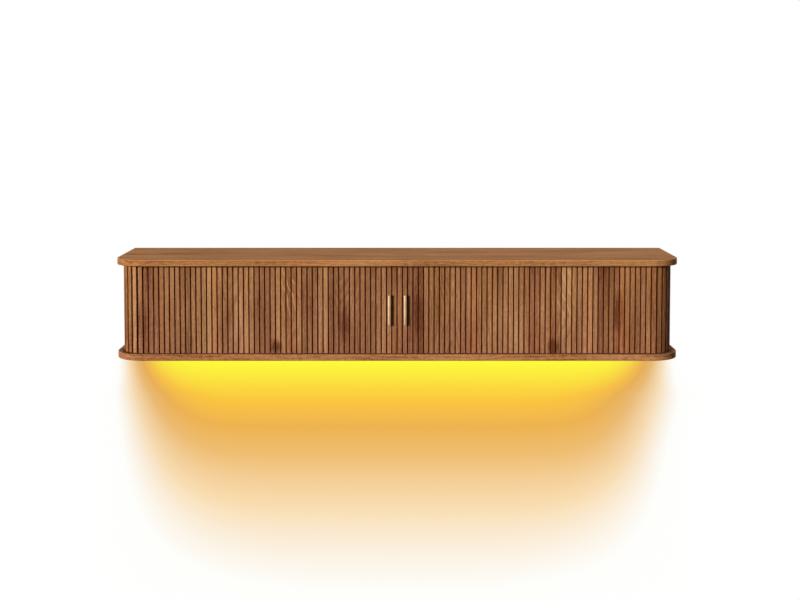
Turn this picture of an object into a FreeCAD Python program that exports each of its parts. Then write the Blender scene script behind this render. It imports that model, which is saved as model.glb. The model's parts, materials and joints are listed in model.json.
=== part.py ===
"""Wall-hung media console with two tambour doors that run round its corners.

Frame, in millimetres: X to the right, Z up, the wall is the plane Y = 0 and the
console stands out from it towards -Y. The origin is the middle of the row of wall
screws, on the wall.
"""
import FreeCAD, Part
import math
import os

import Sketcher

# Driving sizes: plain numbers, millimetres unless the comment says otherwise.
SIZES = {
    # carcass
    "overall_width": 1800,
    "overall_depth": 350,
    "overall_height": 320,
    "hang_drop": 80,  # top surface above the row of wall screws
    "board_thickness": 20,
    "corner_radius": 90,  # front corners of both boards, seen from above
    "board_edge_round": 1.5,
    "ledge": 20,  # boards proud of the slat faces
    # tambour
    "slat_pitch": 16.8,
    "slat_joint": 0.4,  # between neighbouring slats at the canvas
    "slat_face": 12.4,
    "slat_thickness": 9,
    "slat_foot": 2,  # square part of a slat next to the canvas
    "shoulder_gap": 0.8,  # slat shoulders clear of the boards
    "tenon_width": 12,
    "tenon_thickness": 5,
    "tenon_play": 0.6,  # each side of a tenon in its track
    "tenon_top_float": 1.8,
    "tenon_foot_float": 0.3,
    "canvas_thickness": 0.8,
    "canvas_margin": 12,  # canvas ends short of the boards
    "lead_count": 3,  # slats that carry the handle
    "park_gap": 3,  # between an open door's lead slats and the corner
    "track_depth": 8,
    "rear_turn_radius": 45,  # slat faces in the rear turn
    "running_gap": 1.5,  # slat faces clear of what stands outside them
    "stop_length": 8,
    "stop_clearance": 0.8,
    # handles
    "handle_length": 96,
    "handle_diameter": 11,
    "handle_standoff": 10.5,  # slat face to the middle of the bar
    "handle_post_diameter": 7,
    "handle_post_inset": 10,
    "handle_chamfer": 0.8,
    "handle_screw_diameter": 4,
    "handle_screw_depth": 11,  # thread in the handle's post and bar
    "handle_screw_head": 8,
    "handle_screw_head_height": 2.4,
    # backs, sides, divider
    "cleat_space": 14,  # wall to the outer back
    "outer_back_thickness": 12,
    "cavity_depth": 21,  # between the two backs
    "inner_back_thickness": 6,
    "back_groove_depth": 5,
    "back_groove_float": 0.3,
    "panel_fit": 0.2,
    "side_panel_thickness": 15,
    "panel_clearance": 3.2,  # fixed panels clear of the canvas
    "divider_thickness": 18,
    "divider_setback": 6.2,
    "post_lap": 5,
    # shelves
    "shelf_thickness": 16,
    "shelf_setback": 3,
    "shelf_end_gap": 1,
    "shelf_rear_gap": 1,
    "shelf_edge_round": 1,
    "shelf_notch_width": 80,
    "shelf_notch_depth": 25,
    "pin_diameter": 5,
    "pin_depth": 8,
    "pin_reach": 8,
    "pin_inset": 50,
    "pin_row_pitch": 32,
    # joinery
    "fixing_diameter": 6,  # dowels and bolt threads
    "fixing_inset": 40,
    "dowel_length": 24,
    "dowel_end_gap": 0.4,
    "cam_diameter": 15,
    "cam_depth": 12.5,
    "cam_fit": 0.15,
    "cam_inset": 34,  # cam centre from the end of its panel
    "cam_axis_depth": 7.5,  # bolt axis from the panel's face
    "bolt_bore": 8,
    "bolt_head_diameter": 7,
    "bolt_head_height": 3,
    "back_fixing_inset": 60,
    "back_screw_diameter": 3.5,
    "back_screw_length": 18,
    "back_screw_head": 7,
    "back_screw_head_height": 2,
    "back_screw_inset": 30,
    # cable ports
    "port_bore": 50,
    "port_wall": 2,
    "port_flange_width": 6,
    "port_flange_thickness": 2.5,
    "port_offset": 85,
    "port_height": 60,
    "port_fit": 0.3,
    # wall rails
    "rail_length": 1500,
    "rail_gauge": 2.5,
    "wall_flange_drop": 12,
    "rail_web_height": 12,
    "hook_reach": 5.5,
    "hook_height": 13.5,
    "hook_play": 0.7,
    "cabinet_flange": 26,
    "wall_hole_diameter": 5.5,
    "wall_hole_inner": 400,  # spacing of the inner pair
    "wall_hole_outer": 1200,  # spacing of the outer pair
    "rail_screw_count": 5,
    "rail_screw_diameter": 4,
    "rail_screw_length": 12,
    "rail_screw_rise": 15,
    "rail_screw_inset": 30,
    "rail_screw_head": 8,
    "rail_screw_head_height": 2,
    # light
    "light_length": 1600,
    "light_setback": 47,  # middle of the channel from the wall
    "channel_width": 17.4,
    "channel_depth": 9,
    "channel_wall": 1.2,
    "channel_wing": 3.3,
    "channel_wing_thickness": 1,
    "channel_fit": 0.2,
    "channel_cap": 1.5,
    "tape_width": 8,
    "tape_thickness": 0.6,
    "chip_pitch": 50,
    "chip_length": 5,
    "chip_width": 3,
    "chip_height": 0.9,
    "diffuser_thickness": 1.4,
    "diffuser_fit": 0.15,
    "power_box_width": 96,
    "power_box_depth": 18.5,
    "power_box_height": 80,
    "power_box_lift": 20,
    "power_box_round": 3,
    "power_ear_width": 9,
    "power_ear_thickness": 3,
    "power_ear_height": 16,
    "power_screw_diameter": 3,
    "power_screw_length": 10,
    "power_screw_head": 6,
    "power_screw_head_height": 1.8,
    "lead_diameter": 3.6,
    "lead_hole": 4.2,
    "lead_offset": 5,
    "inlet_diameter": 11,
    "inlet_flange": 16,
    "inlet_flange_thickness": 2,
    "inlet_bore": 5.6,
    "inlet_bore_depth": 9,
    "inlet_pin": 2,
}

# Sizes and places that follow from the driving ones.
LAYOUT = {
    "half_width": "=Sizes.overall_width / 2",
    "top_z": "=Sizes.hang_drop",
    "ceiling_z": "=top_z - Sizes.board_thickness",
    "base_z": "=top_z - Sizes.overall_height",
    "floor_z": "=base_z + Sizes.board_thickness",
    "middle_z": "=(ceiling_z + floor_z) / 2",
    # the tambour's path, by its slat faces
    "face_x": "=half_width - Sizes.ledge",
    "face_y": "=-(Sizes.overall_depth - Sizes.ledge)",
    "face_radius": "=Sizes.corner_radius - Sizes.ledge",
    "front_x": "=half_width - Sizes.corner_radius",
    "front_y": "=-(Sizes.overall_depth - Sizes.corner_radius)",
    "rear_face_y": "=-(Sizes.cleat_space + Sizes.outer_back_thickness + Sizes.running_gap)",
    "rear_x": "=face_x - Sizes.rear_turn_radius",
    "rear_y": "=rear_face_y - Sizes.rear_turn_radius",
    # depths behind the slat faces
    "canvas_outer": "=Sizes.slat_thickness",
    "canvas_middle": "=Sizes.slat_thickness + Sizes.canvas_thickness / 2",
    "canvas_inner": "=Sizes.slat_thickness + Sizes.canvas_thickness",
    "tenon_outer": "=Sizes.slat_thickness - Sizes.tenon_thickness",
    "track_outer": "=tenon_outer - Sizes.tenon_play",
    "track_inner": "=Sizes.slat_thickness + Sizes.tenon_play",
    # lengths along the canvas, from the middle of the front
    "front_turn": "=pi / 2 * (face_radius - canvas_middle)",
    "rear_turn": "=pi / 2 * (Sizes.rear_turn_radius - canvas_middle)",
    "side_length": "=rear_y - front_y",
    "to_rear_turn": "=front_x + front_turn + side_length",
    "front_count": "=floor(front_x / Sizes.slat_pitch)",
    "run_count": "=front_count - Sizes.lead_count",
    "door_count": "=ceil(to_rear_turn / Sizes.slat_pitch)",
    "lead_end": "=Sizes.lead_count * Sizes.slat_pitch",
    "run_end": "=front_count * Sizes.slat_pitch",
    "tail": "=door_count * Sizes.slat_pitch",
    "travel": "=run_end - lead_end - Sizes.park_gap",
    "tail_angle": "=(tail - to_rear_turn) / rear_turn * 90",
    "open_tail_x": "=rear_x - (tail + travel - to_rear_turn - rear_turn)",
    "stop_x": "=open_tail_x - Sizes.stop_clearance",
    "track_end_x": "=stop_x - Sizes.stop_length",
    # heights of the slats
    "shoulder_top_z": "=ceiling_z - Sizes.shoulder_gap",
    "shoulder_foot_z": "=floor_z + Sizes.shoulder_gap",
    "tenon_top_z": "=ceiling_z + Sizes.track_depth - Sizes.tenon_top_float",
    "tenon_foot_z": "=floor_z - Sizes.track_depth + Sizes.tenon_foot_float",
    "canvas_top_z": "=ceiling_z - Sizes.canvas_margin",
    "canvas_foot_z": "=floor_z + Sizes.canvas_margin",
    # backs
    "back_rear_y": "=-Sizes.cleat_space",
    "back_front_y": "=back_rear_y - Sizes.outer_back_thickness",
    "back_middle_y": "=(back_rear_y + back_front_y) / 2",
    "back_half_width": "=rear_x + Sizes.post_lap",
    "inner_rear_y": "=back_front_y - Sizes.cavity_depth",
    "inner_front_y": "=inner_rear_y - Sizes.inner_back_thickness",
    "inner_half_width": "=side_inner_x - Sizes.panel_fit",
    "inner_reach": "=Sizes.back_groove_depth - Sizes.back_groove_float",
    # inner side panels: their outer face keeps one clearance from the canvas
    "side_outer_x": "=face_x - canvas_inner - Sizes.panel_clearance",
    "side_inner_x": "=side_outer_x - Sizes.side_panel_thickness",
    "front_guard": "=face_radius - canvas_inner - Sizes.panel_clearance",
    "rear_guard": "=Sizes.rear_turn_radius - canvas_inner - Sizes.panel_clearance",
    "side_front_y": "=front_y - sqrt(front_guard ^ 2 - (side_inner_x - front_x) ^ 2)",
    "side_rear_y": "=rear_y + sqrt(rear_guard ^ 2 - (side_inner_x - rear_x) ^ 2)",
    "divider_front_y": "=face_y + canvas_inner + Sizes.divider_setback",
    "divider_half": "=Sizes.divider_thickness / 2",
    # rear posts round the rear turn
    "post_guard": "=Sizes.rear_turn_radius + Sizes.running_gap",
    "post_front_y": "=rear_y + sqrt(post_guard ^ 2 - (face_x - rear_x) ^ 2)",
    "post_inner_y": "=rear_y + sqrt(post_guard ^ 2 - Sizes.post_lap ^ 2)",
    "post_fixing_x": "=(back_half_width + face_x) / 2",
    # shelves and pins
    "shelf_front_y": "=side_front_y + Sizes.shelf_setback",
    "shelf_rear_y": "=inner_front_y - Sizes.shelf_rear_gap",
    "shelf_foot_z": "=middle_z - Sizes.shelf_thickness / 2",
    "shelf_inner_x": "=divider_half + Sizes.shelf_end_gap",
    "shelf_outer_x": "=side_inner_x - Sizes.shelf_end_gap",
    "shelf_middle_x": "=(shelf_inner_x + shelf_outer_x) / 2",
    "pin_z": "=shelf_foot_z - Sizes.pin_diameter / 2",
    "pin_front_y": "=shelf_front_y + Sizes.pin_inset",
    "pin_rear_y": "=shelf_rear_y - Sizes.pin_inset",
    # joinery
    "front_dowel_y": "=side_front_y + Sizes.fixing_inset",
    "rear_dowel_y": "=side_rear_y - Sizes.fixing_inset",
    "cam_y": "=(front_dowel_y + rear_dowel_y) / 2",
    "side_fixing_x": "=side_inner_x + Sizes.cam_axis_depth",
    "divider_cam_x": "=divider_half - Sizes.cam_axis_depth",
    "dowel_reach": "=Sizes.dowel_length / 2",
    "fixing_hole": "=dowel_reach + Sizes.dowel_end_gap",
    "upper_cam_z": "=ceiling_z - Sizes.cam_inset",
    "lower_cam_z": "=floor_z + Sizes.cam_inset",
    "outer_fixing_x": "=back_half_width - Sizes.back_fixing_inset",
    "inner_fixing_x": "=outer_fixing_x / 3",
    "back_screw_top_z": "=ceiling_z - Sizes.back_screw_inset",
    "back_screw_foot_z": "=floor_z + Sizes.back_screw_inset",
    # cable ports
    "port_z": "=floor_z + Sizes.port_height",
    "port_outer": "=Sizes.port_bore + 2 * Sizes.port_wall",
    "port_flange": "=port_outer + 2 * Sizes.port_flange_width",
    "port_hole": "=port_outer + 2 * Sizes.port_fit",
    # rails, by the wall screws' row at Z = 0
    "web_top_z": "=Sizes.rail_web_height + Sizes.rail_gauge",
    "hook_top_z": "=web_top_z + Sizes.hook_height",
    "hook_y": "=-(Sizes.hook_reach + Sizes.rail_gauge)",
    "lip_front_y": "=-(Sizes.hook_reach - Sizes.hook_play)",
    "lip_rear_y": "=lip_front_y + Sizes.rail_gauge",
    "lip_foot_z": "=web_top_z + Sizes.hook_play",
    "flange_top_z": "=hook_top_z + Sizes.cabinet_flange",
    "rail_screw_z": "=hook_top_z + Sizes.rail_screw_rise",
    "rail_screw_span": "=Sizes.rail_length - 2 * Sizes.rail_screw_inset",
    # light
    "light_y": "=-Sizes.light_setback",
    "channel_half": "=Sizes.channel_width / 2",
    "channel_mouth": "=channel_half - Sizes.channel_wall",
    "wing_half": "=channel_half + Sizes.channel_wing",
    "wing_top_z": "=base_z + Sizes.channel_wing_thickness",
    "channel_top_z": "=base_z + Sizes.channel_depth",
    "channel_roof_z": "=channel_top_z - Sizes.channel_wall",
    "light_half": "=Sizes.light_length / 2",
    "recess_half": "=light_half + Sizes.channel_cap + Sizes.channel_fit",
    "chip_count": "=floor((Sizes.light_length - Sizes.chip_length) / Sizes.chip_pitch)",
    "chip_start_x": "=-(chip_count - 1) * Sizes.chip_pitch / 2 - Sizes.chip_length / 2",
    "power_foot_z": "=floor_z + Sizes.power_box_lift",
    "power_top_z": "=power_foot_z + Sizes.power_box_height",
    "power_front_y": "=back_front_y - Sizes.power_box_depth",
    "power_half": "=Sizes.power_box_width / 2",
    "power_middle_z": "=(power_foot_z + power_top_z) / 2",
    "power_ear_x": "=power_half - Sizes.power_ear_width / 2",
    "feed_y": "=light_y + Sizes.lead_offset",
}

NORMALS = {"XY": 1, "XZ": -1, "YZ": 1}
SIDES = {"left": -1, "right": 1}
# The same hole pattern joins the carcass to both boards.
BOARDS = {"top": 1, "bottom": -1}

doc = FreeCAD.newDocument("MediaConsole")
nodes = []
cuts = []


def fill_sheet(name, cells):
    """Put one named value or formula in each row of a new sheet."""
    sheet = doc.addObject("Spreadsheet::Sheet", name)
    for row, (alias, content) in enumerate(cells.items(), start=1):
        sheet.set(f"A{row}", alias)
        sheet.set(f"B{row}", str(content))
        sheet.setAlias(f"B{row}", alias)
    doc.recompute()
    return sheet


fill_sheet("Sizes", SIZES)
layout = fill_sheet("Layout", LAYOUT)


def number(expression):
    """Value of an expression over the two sheets."""
    return float(layout.evalExpression(str(expression)))


def vector(x, y, z):
    """Point whose coordinates are expressions."""
    return FreeCAD.Vector(number(x), number(y), number(z))


def signed(sign, expression):
    """Expression mirrored in the plane X = 0 for the left side."""
    return f"{sign} * ({expression})"


class Drawing:
    """Sketch on an origin plane of its body, with every point held by expressions."""

    def __init__(self, body, name, plane, level):
        self.plane = plane
        self.sketch = body.newObject("Sketcher::SketchObject", name)
        roles = {feature.Role: feature for feature in body.Origin.OriginFeatures}
        self.sketch.AttachmentSupport = (roles[plane + "_Plane"], [""])
        self.sketch.MapMode = "FlatFace"
        self.sketch.setExpression("AttachmentOffset.Base.z", signed(NORMALS[plane], level))
        self.rules = []
        self.bindings = []

    def bind(self, rule, expression):
        """Hold one dimension by an expression."""
        self.bindings.append((len(self.rules), expression))
        self.rules.append(Sketcher.Constraint(*rule, number(expression)))

    def hold_point(self, geometry, end, x, y):
        """Hold one end of a line or arc, or a centre, at a place on the plane."""
        self.bind(("DistanceX", -1, 1, geometry, end), x)
        self.bind(("DistanceY", -1, 1, geometry, end), y)

    def add_arc(self, start, finish, arc):
        """Add the short arc from start to finish and tell which of its ends is which."""
        radius, centre_x, centre_y = arc
        centre = vector(centre_x, centre_y, 0)
        angles = [math.atan2(p.y - centre.y, p.x - centre.x) for p in (start, finish)]
        turns_left = (start - centre).cross(finish - centre).z > 0
        circle = Part.Circle(centre, FreeCAD.Vector(0, 0, 1), number(radius))
        if not turns_left:
            angles.reverse()
        geometry = self.sketch.addGeometry(Part.ArcOfCircle(circle, *angles))
        self.bind(("Radius", geometry), radius)
        return (geometry, 1, 2) if turns_left else (geometry, 2, 1)

    def outline(self, corners):
        """Draw a closed outline through (x, y, arc to the next corner or None)."""
        points = [vector(x, y, 0) for x, y, _ in corners]
        edges = []
        for index, (_, _, arc) in enumerate(corners):
            start = points[index]
            finish = points[(index + 1) % len(points)]
            if arc:
                edges.append(self.add_arc(start, finish, arc))
            else:
                line = self.sketch.addGeometry(Part.LineSegment(start, finish))
                edges.append((line, 1, 2))
        for index, (x, y, _) in enumerate(corners):
            geometry, begin, _ = edges[index]
            previous, _, end = edges[index - 1]
            self.rules.append(Sketcher.Constraint("Coincident", previous, end, geometry, begin))
            self.hold_point(geometry, begin, x, y)
        return self

    def polygon(self, points):
        """Draw a closed outline of straight lines."""
        return self.outline([(x, y, None) for x, y in points])

    def rectangle(self, x_low, x_high, y_low, y_high):
        """Draw an upright rectangle."""
        return self.polygon([(x_low, y_low), (x_high, y_low), (x_high, y_high), (x_low, y_high)])

    def circles(self, centres, diameter):
        """Draw equal circles."""
        for x, y in centres:
            circle = Part.Circle(vector(x, y, 0), FreeCAD.Vector(0, 0, 1), number(diameter) / 2)
            geometry = self.sketch.addGeometry(circle)
            self.bind(("Diameter", geometry), diameter)
            self.hold_point(geometry, 3, x, y)
        return self

    def finish(self):
        """Add the constraints, bind them and give back the sketch."""
        self.sketch.addConstraint(self.rules)
        for index, expression in self.bindings:
            self.sketch.setExpression(f"Constraints[{index}]", str(expression))
        return self.sketch


def new_body(label, pieces=1):
    """Start a body; one with several pieces keeps them as separate solids."""
    body = doc.addObject("PartDesign::Body", label)
    body.Label = label
    body.AllowCompound = pieces > 1
    return body


def new_node(label, pieces=1):
    """Start a body that is a sub-part of the console."""
    body = new_body(label, pieces)
    nodes.append(body)
    return body


def pad(body, name, drawing, length, toward=1):
    """Extrude a drawing by a length towards + or - of its plane's axis."""
    feature = body.newObject("PartDesign::Pad", name)
    feature.Profile = drawing.finish()
    feature.setExpression("Length", str(length))
    feature.Reversed = toward != NORMALS[drawing.plane]
    return feature


def cut(body, name, drawing, depth, toward):
    """Cut a drawing into the body, towards + or - of its plane's axis."""
    feature = body.newObject("PartDesign::Pocket", name)
    feature.Profile = drawing.finish()
    feature.setExpression("Length", str(depth))
    feature.Reversed = toward == NORMALS[drawing.plane]
    cuts.append(feature)
    return feature


def drill(body, name, plane, level, centres, diameter, depth, toward):
    """Drill equal holes from a level of the plane."""
    drawing = Drawing(body, name + "_centres", plane, level).circles(centres, diameter)
    return cut(body, name, drawing, depth, toward)


def revolve(body, name, plane, corners):
    """Turn a closed half profile, drawn from the sketch's vertical axis, once round it."""
    drawing = Drawing(body, name + "_profile", plane, 0).polygon(corners)
    feature = body.newObject("PartDesign::Revolution", name)
    feature.Profile = drawing.finish()
    feature.ReferenceAxis = (feature.Profile[0], ["V_Axis"])
    feature.Angle = 360
    return feature


def repeat(body, name, originals, axis, spacing, count, reverse=False):
    """Repeat features along an axis of the body."""
    roles = {feature.Role: feature for feature in body.Origin.OriginFeatures}
    pattern = body.newObject("PartDesign::LinearPattern", name)
    pattern.Originals = originals
    pattern.Direction = (roles[axis + "_Axis"], [""])
    pattern.Reversed = reverse
    pattern.setExpression("Length", f"({count} - 1) * ({spacing})")
    pattern.setExpression("Occurrences", count)
    body.Tip = pattern
    return pattern


def round_edges(body, feature, name, radius, wanted):
    """Round the edges that the test picks."""
    doc.recompute()
    picked = [
        f"Edge{index}"
        for index, edge in enumerate(feature.Shape.Edges, start=1)
        if wanted(edge)
    ]
    fillet = body.newObject("PartDesign::Fillet", name)
    fillet.Base = (feature, picked)
    fillet.setExpression("Radius", radius)
    return fillet


def group(label, master, placements):
    """Place copies of a master piece, each a separate solid, as one sub-part."""
    copies = []
    for placement in placements:
        copy = master.Shape.copy()
        copy.Placement = placement.multiply(copy.Placement)
        copies.extend(copy.Solids)
    feature = doc.addObject("Part::Feature", label)
    feature.Label = label
    feature.Shape = Part.makeCompound(copies)
    feature.Placement = FreeCAD.Placement()
    nodes.append(feature)
    return feature


def placed(x, y, z, axis=(0, 0, 1), angle=0):
    """Placement at a point given by expressions, turned about an axis."""
    turn = FreeCAD.Rotation(FreeCAD.Vector(*axis), angle)
    return FreeCAD.Placement(vector(x, y, z), turn)


# ---------------------------------------------------------------- places shared by pieces

CARCASS_Y = ("Layout.front_dowel_y", "Layout.rear_dowel_y")
CAM_Z = {"top": "Layout.upper_cam_z", "bottom": "Layout.lower_cam_z"}
END_Z = {"top": "Layout.ceiling_z", "bottom": "Layout.floor_z"}
BACK_FIXING_X = [
    signed(sign, f"Layout.{name}_fixing_x") for sign in (-1, 1) for name in ("outer", "inner")
]
BACK_SCREW_Z = ("Layout.back_screw_foot_z", "Layout.middle_z", "Layout.back_screw_top_z")
PIN_Z = [f"Layout.pin_z + {step} * Sizes.pin_row_pitch" for step in (-1, 0, 1)]
PORTS = {side: signed(sign, "Sizes.port_offset") for side, sign in SIDES.items()}


def dowel_spots():
    """Centres of the dowels, seen from above."""
    spots = [("0", y) for y in CARCASS_Y]
    spots += [(signed(s, "Layout.side_fixing_x"), y) for s in (-1, 1) for y in CARCASS_Y]
    spots += [(x, "Layout.back_middle_y") for x in BACK_FIXING_X]
    spots += [(signed(s, "Layout.post_fixing_x"), "Layout.back_middle_y") for s in (-1, 1)]
    return spots


def bolt_spots():
    """Centres of the cam bolts, seen from above."""
    xs = ["Layout.divider_cam_x"] + [signed(s, "Layout.side_fixing_x") for s in (-1, 1)]
    return [(x, "Layout.cam_y") for x in xs]


def rail_screw_xs():
    """Places of the cabinet rail's screws along X."""
    count = int(number("Sizes.rail_screw_count"))
    return [
        f"Layout.rail_screw_span * ({index} / (Sizes.rail_screw_count - 1) - 0.5)"
        for index in range(count)
    ]


def guide(depth, sign):
    """One side of the tambour's path, at a depth behind the slat faces, front to rear."""
    front_arc = (
        f"Layout.face_radius - {depth}", signed(sign, "Layout.front_x"), "Layout.front_y"
    )
    rear_arc = (
        f"Sizes.rear_turn_radius - {depth}", signed(sign, "Layout.rear_x"), "Layout.rear_y"
    )
    return [
        (signed(sign, "Layout.front_x"), f"Layout.face_y + {depth}", front_arc),
        (signed(sign, f"Layout.face_x - {depth}"), "Layout.front_y", None),
        (signed(sign, f"Layout.face_x - {depth}"), "Layout.rear_y", rear_arc),
        (signed(sign, "Layout.rear_x"), f"Layout.rear_face_y - {depth}", None),
        (signed(sign, "Layout.track_end_x"), f"Layout.rear_face_y - {depth}", None),
    ]


def backwards(corners):
    """The same stretch of outline walked the other way."""
    arcs = [arc for _, _, arc in corners[-2::-1]] + [None]
    return [(x, y, arc) for (x, y, _), arc in zip(reversed(corners), arcs)]


def path_placement(length, sign):
    """Where a slat made at the middle of the front goes, by its length along the canvas."""
    middle = number("Layout.canvas_middle")
    front = FreeCAD.Vector(number("Layout.front_x"), number("Layout.front_y"), 0)
    rear = FreeCAD.Vector(number("Layout.rear_x"), number("Layout.rear_y"), 0)
    front_radius = number("Layout.face_radius") - middle
    rear_radius = number("Sizes.rear_turn_radius") - middle
    beyond = length - number("Layout.front_x")
    if beyond < 0:
        turn, centre, reach = 0, front + FreeCAD.Vector(beyond, 0, 0), front_radius
    elif beyond < number("Layout.front_turn"):
        turn, centre, reach = math.degrees(beyond / front_radius), front, front_radius
    elif length < number("Layout.to_rear_turn"):
        along = beyond - number("Layout.front_turn")
        turn, centre, reach = 90, front + FreeCAD.Vector(0, along, 0), front_radius
    else:
        angle = (length - number("Layout.to_rear_turn")) / rear_radius
        turn, centre, reach = 90 + math.degrees(angle), rear, rear_radius
    outward = math.radians(turn - 90)
    point = centre + FreeCAD.Vector(math.cos(outward), math.sin(outward), 0) * reach
    spot = FreeCAD.Placement(
        FreeCAD.Vector(sign * point.x, point.y, 0),
        FreeCAD.Rotation(FreeCAD.Vector(0, 0, 1), sign * turn),
    )
    home = FreeCAD.Vector(0, number("Layout.face_y + Layout.canvas_middle"), 0)
    return spot.multiply(FreeCAD.Placement(-home, FreeCAD.Rotation()))


# ---------------------------------------------------------------- boards


def board(name):
    """Top or bottom board: round front corners, track groove, back groove, fixing holes."""
    up = BOARDS[name]
    body = new_node(f"{name}_panel")
    corners = []
    for sign in (-1, 1):
        x_arc = signed(sign, "Layout.front_x")
        arc = ("Sizes.corner_radius", x_arc, "Layout.front_y")
        side = (signed(sign, "Layout.half_width"), "Layout.front_y", arc)
        front = (x_arc, "-Sizes.overall_depth", None)
        corners.append([(signed(sign, "Layout.half_width"), "0", None), side, front])
    outline = corners[0] + backwards(corners[1])
    inner = END_Z[name]
    drawing = Drawing(body, "outline", "XY", inner).outline(outline)
    slab = pad(body, "slab", drawing, "Sizes.board_thickness", up)

    def on_rim(edge):
        box = edge.BoundBox
        return box.ZLength < 0.01 and box.YMin < -0.01

    round_edges(body, slab, "soft_edges", "Sizes.board_edge_round", on_rim)
    outer_left = guide("Layout.track_outer", -1)
    outer_right = guide("Layout.track_outer", 1)
    inner_left = guide("Layout.track_inner", -1)
    inner_right = guide("Layout.track_inner", 1)
    loop = backwards(outer_left) + outer_right + backwards(inner_right) + inner_left
    track = Drawing(body, "track_plan", "XY", inner).outline(loop)
    cut(body, "track", track, "Sizes.track_depth", up)
    groove = Drawing(body, "back_groove_plan", "XY", inner).rectangle(
        "-Layout.side_inner_x",
        "Layout.side_inner_x",
        "Layout.inner_front_y - Sizes.panel_fit",
        "Layout.inner_rear_y + Sizes.panel_fit",
    )
    cut(body, "back_groove", groove, "Sizes.back_groove_depth", up)
    spots = dowel_spots() + bolt_spots()
    drill(
        body, "fixing_holes", "XY", inner, spots, "Sizes.fixing_diameter",
        "Layout.fixing_hole", up,
    )
    return body


def light_recess(body):
    """Stepped recess for the light's channel and the hole for its lead."""
    low = "Layout.light_y - Layout.channel_half - Sizes.channel_fit"
    high = "Layout.light_y + Layout.channel_half + Sizes.channel_fit"
    ends = ("-Layout.recess_half", "Layout.recess_half")
    deep = Drawing(body, "channel_plan", "XY", "Layout.base_z").rectangle(*ends, low, high)
    cut(body, "channel_recess", deep, "Sizes.channel_depth + Sizes.channel_fit", 1)
    wide = Drawing(body, "wing_plan", "XY", "Layout.base_z").rectangle(
        *ends, f"{low} - Sizes.channel_wing", f"{high} + Sizes.channel_wing"
    )
    cut(body, "wing_recess", wide, "Sizes.channel_wing_thickness", 1)
    drill(
        body, "lead_hole", "XY", "Layout.floor_z", [("0", "Layout.feed_y")], "Sizes.lead_hole",
        "Sizes.board_thickness", -1,
    )


board("top")
light_recess(board("bottom"))

# ---------------------------------------------------------------- carcass inside the tambour


def end_holes(body, dowels, bolts):
    """Dowel holes and bolt bores in the upper and lower ends of an upright panel."""
    for name, up in BOARDS.items():
        level = END_Z[name]
        drill(
            body, f"{name}_dowel_holes", "XY", level, dowels, "Sizes.fixing_diameter",
            "Layout.fixing_hole", -up,
        )
        if bolts:
            drill(
                body, f"{name}_bolt_bores", "XY", level, bolts, "Sizes.bolt_bore",
                "Sizes.cam_inset", -up,
            )


def cam_pockets(body, face_x, toward):
    """Round pockets for the cams in one face of an upright panel."""
    centres = [("Layout.cam_y", z) for z in CAM_Z.values()]
    drill(
        body, "cam_pockets", "YZ", face_x, centres, "Sizes.cam_diameter", "Sizes.cam_depth",
        toward,
    )


def pin_holes(body, name, face_x, toward):
    """Two rows of holes for shelf pins in one face of an upright panel."""
    centres = [(y, z) for y in ("Layout.pin_front_y", "Layout.pin_rear_y") for z in PIN_Z]
    drill(body, name, "YZ", face_x, centres, "Sizes.pin_diameter", "Sizes.pin_depth", toward)


def side_panel(side):
    """Inner side panel, its outer face following the tambour's two turns."""
    sign = SIDES[side]
    body = new_node(f"{side}_side_panel")
    inner_x = signed(sign, "Layout.side_inner_x")
    outer_x = signed(sign, "Layout.side_outer_x")
    front_arc = ("Layout.front_guard", signed(sign, "Layout.front_x"), "Layout.front_y")
    rear_arc = ("Layout.rear_guard", signed(sign, "Layout.rear_x"), "Layout.rear_y")
    plan = Drawing(body, "plan", "XY", "Layout.floor_z").outline(
        [
            (inner_x, "Layout.side_front_y", front_arc),
            (outer_x, "Layout.front_y", None),
            (outer_x, "Layout.rear_y", rear_arc),
            (inner_x, "Layout.side_rear_y", None),
        ]
    )
    pad(body, "panel", plan, "Layout.ceiling_z - Layout.floor_z")
    fixing_x = signed(sign, "Layout.side_fixing_x")
    end_holes(body, [(fixing_x, y) for y in CARCASS_Y], [(fixing_x, "Layout.cam_y")])
    cam_pockets(body, inner_x, sign)
    pin_holes(body, "pin_holes", inner_x, sign)


def center_divider():
    """Upright between the bays, screwed to the inner back."""
    body = new_node("center_divider")
    plan = Drawing(body, "plan", "XY", "Layout.floor_z").rectangle(
        "-Layout.divider_half", "Layout.divider_half", "Layout.divider_front_y",
        "Layout.inner_front_y",
    )
    pad(body, "panel", plan, "Layout.ceiling_z - Layout.floor_z")
    end_holes(
        body, [("0", y) for y in CARCASS_Y], [("Layout.divider_cam_x", "Layout.cam_y")]
    )
    cam_pockets(body, "Layout.divider_half", -1)
    pin_holes(body, "right_pin_holes", "Layout.divider_half", -1)
    pin_holes(body, "left_pin_holes", "-Layout.divider_half", 1)
    drill(
        body, "back_screw_holes", "XZ", "Layout.inner_front_y", [("0", z) for z in BACK_SCREW_Z],
        "Sizes.back_screw_diameter", "Sizes.back_screw_length - Sizes.inner_back_thickness", -1,
    )


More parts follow.
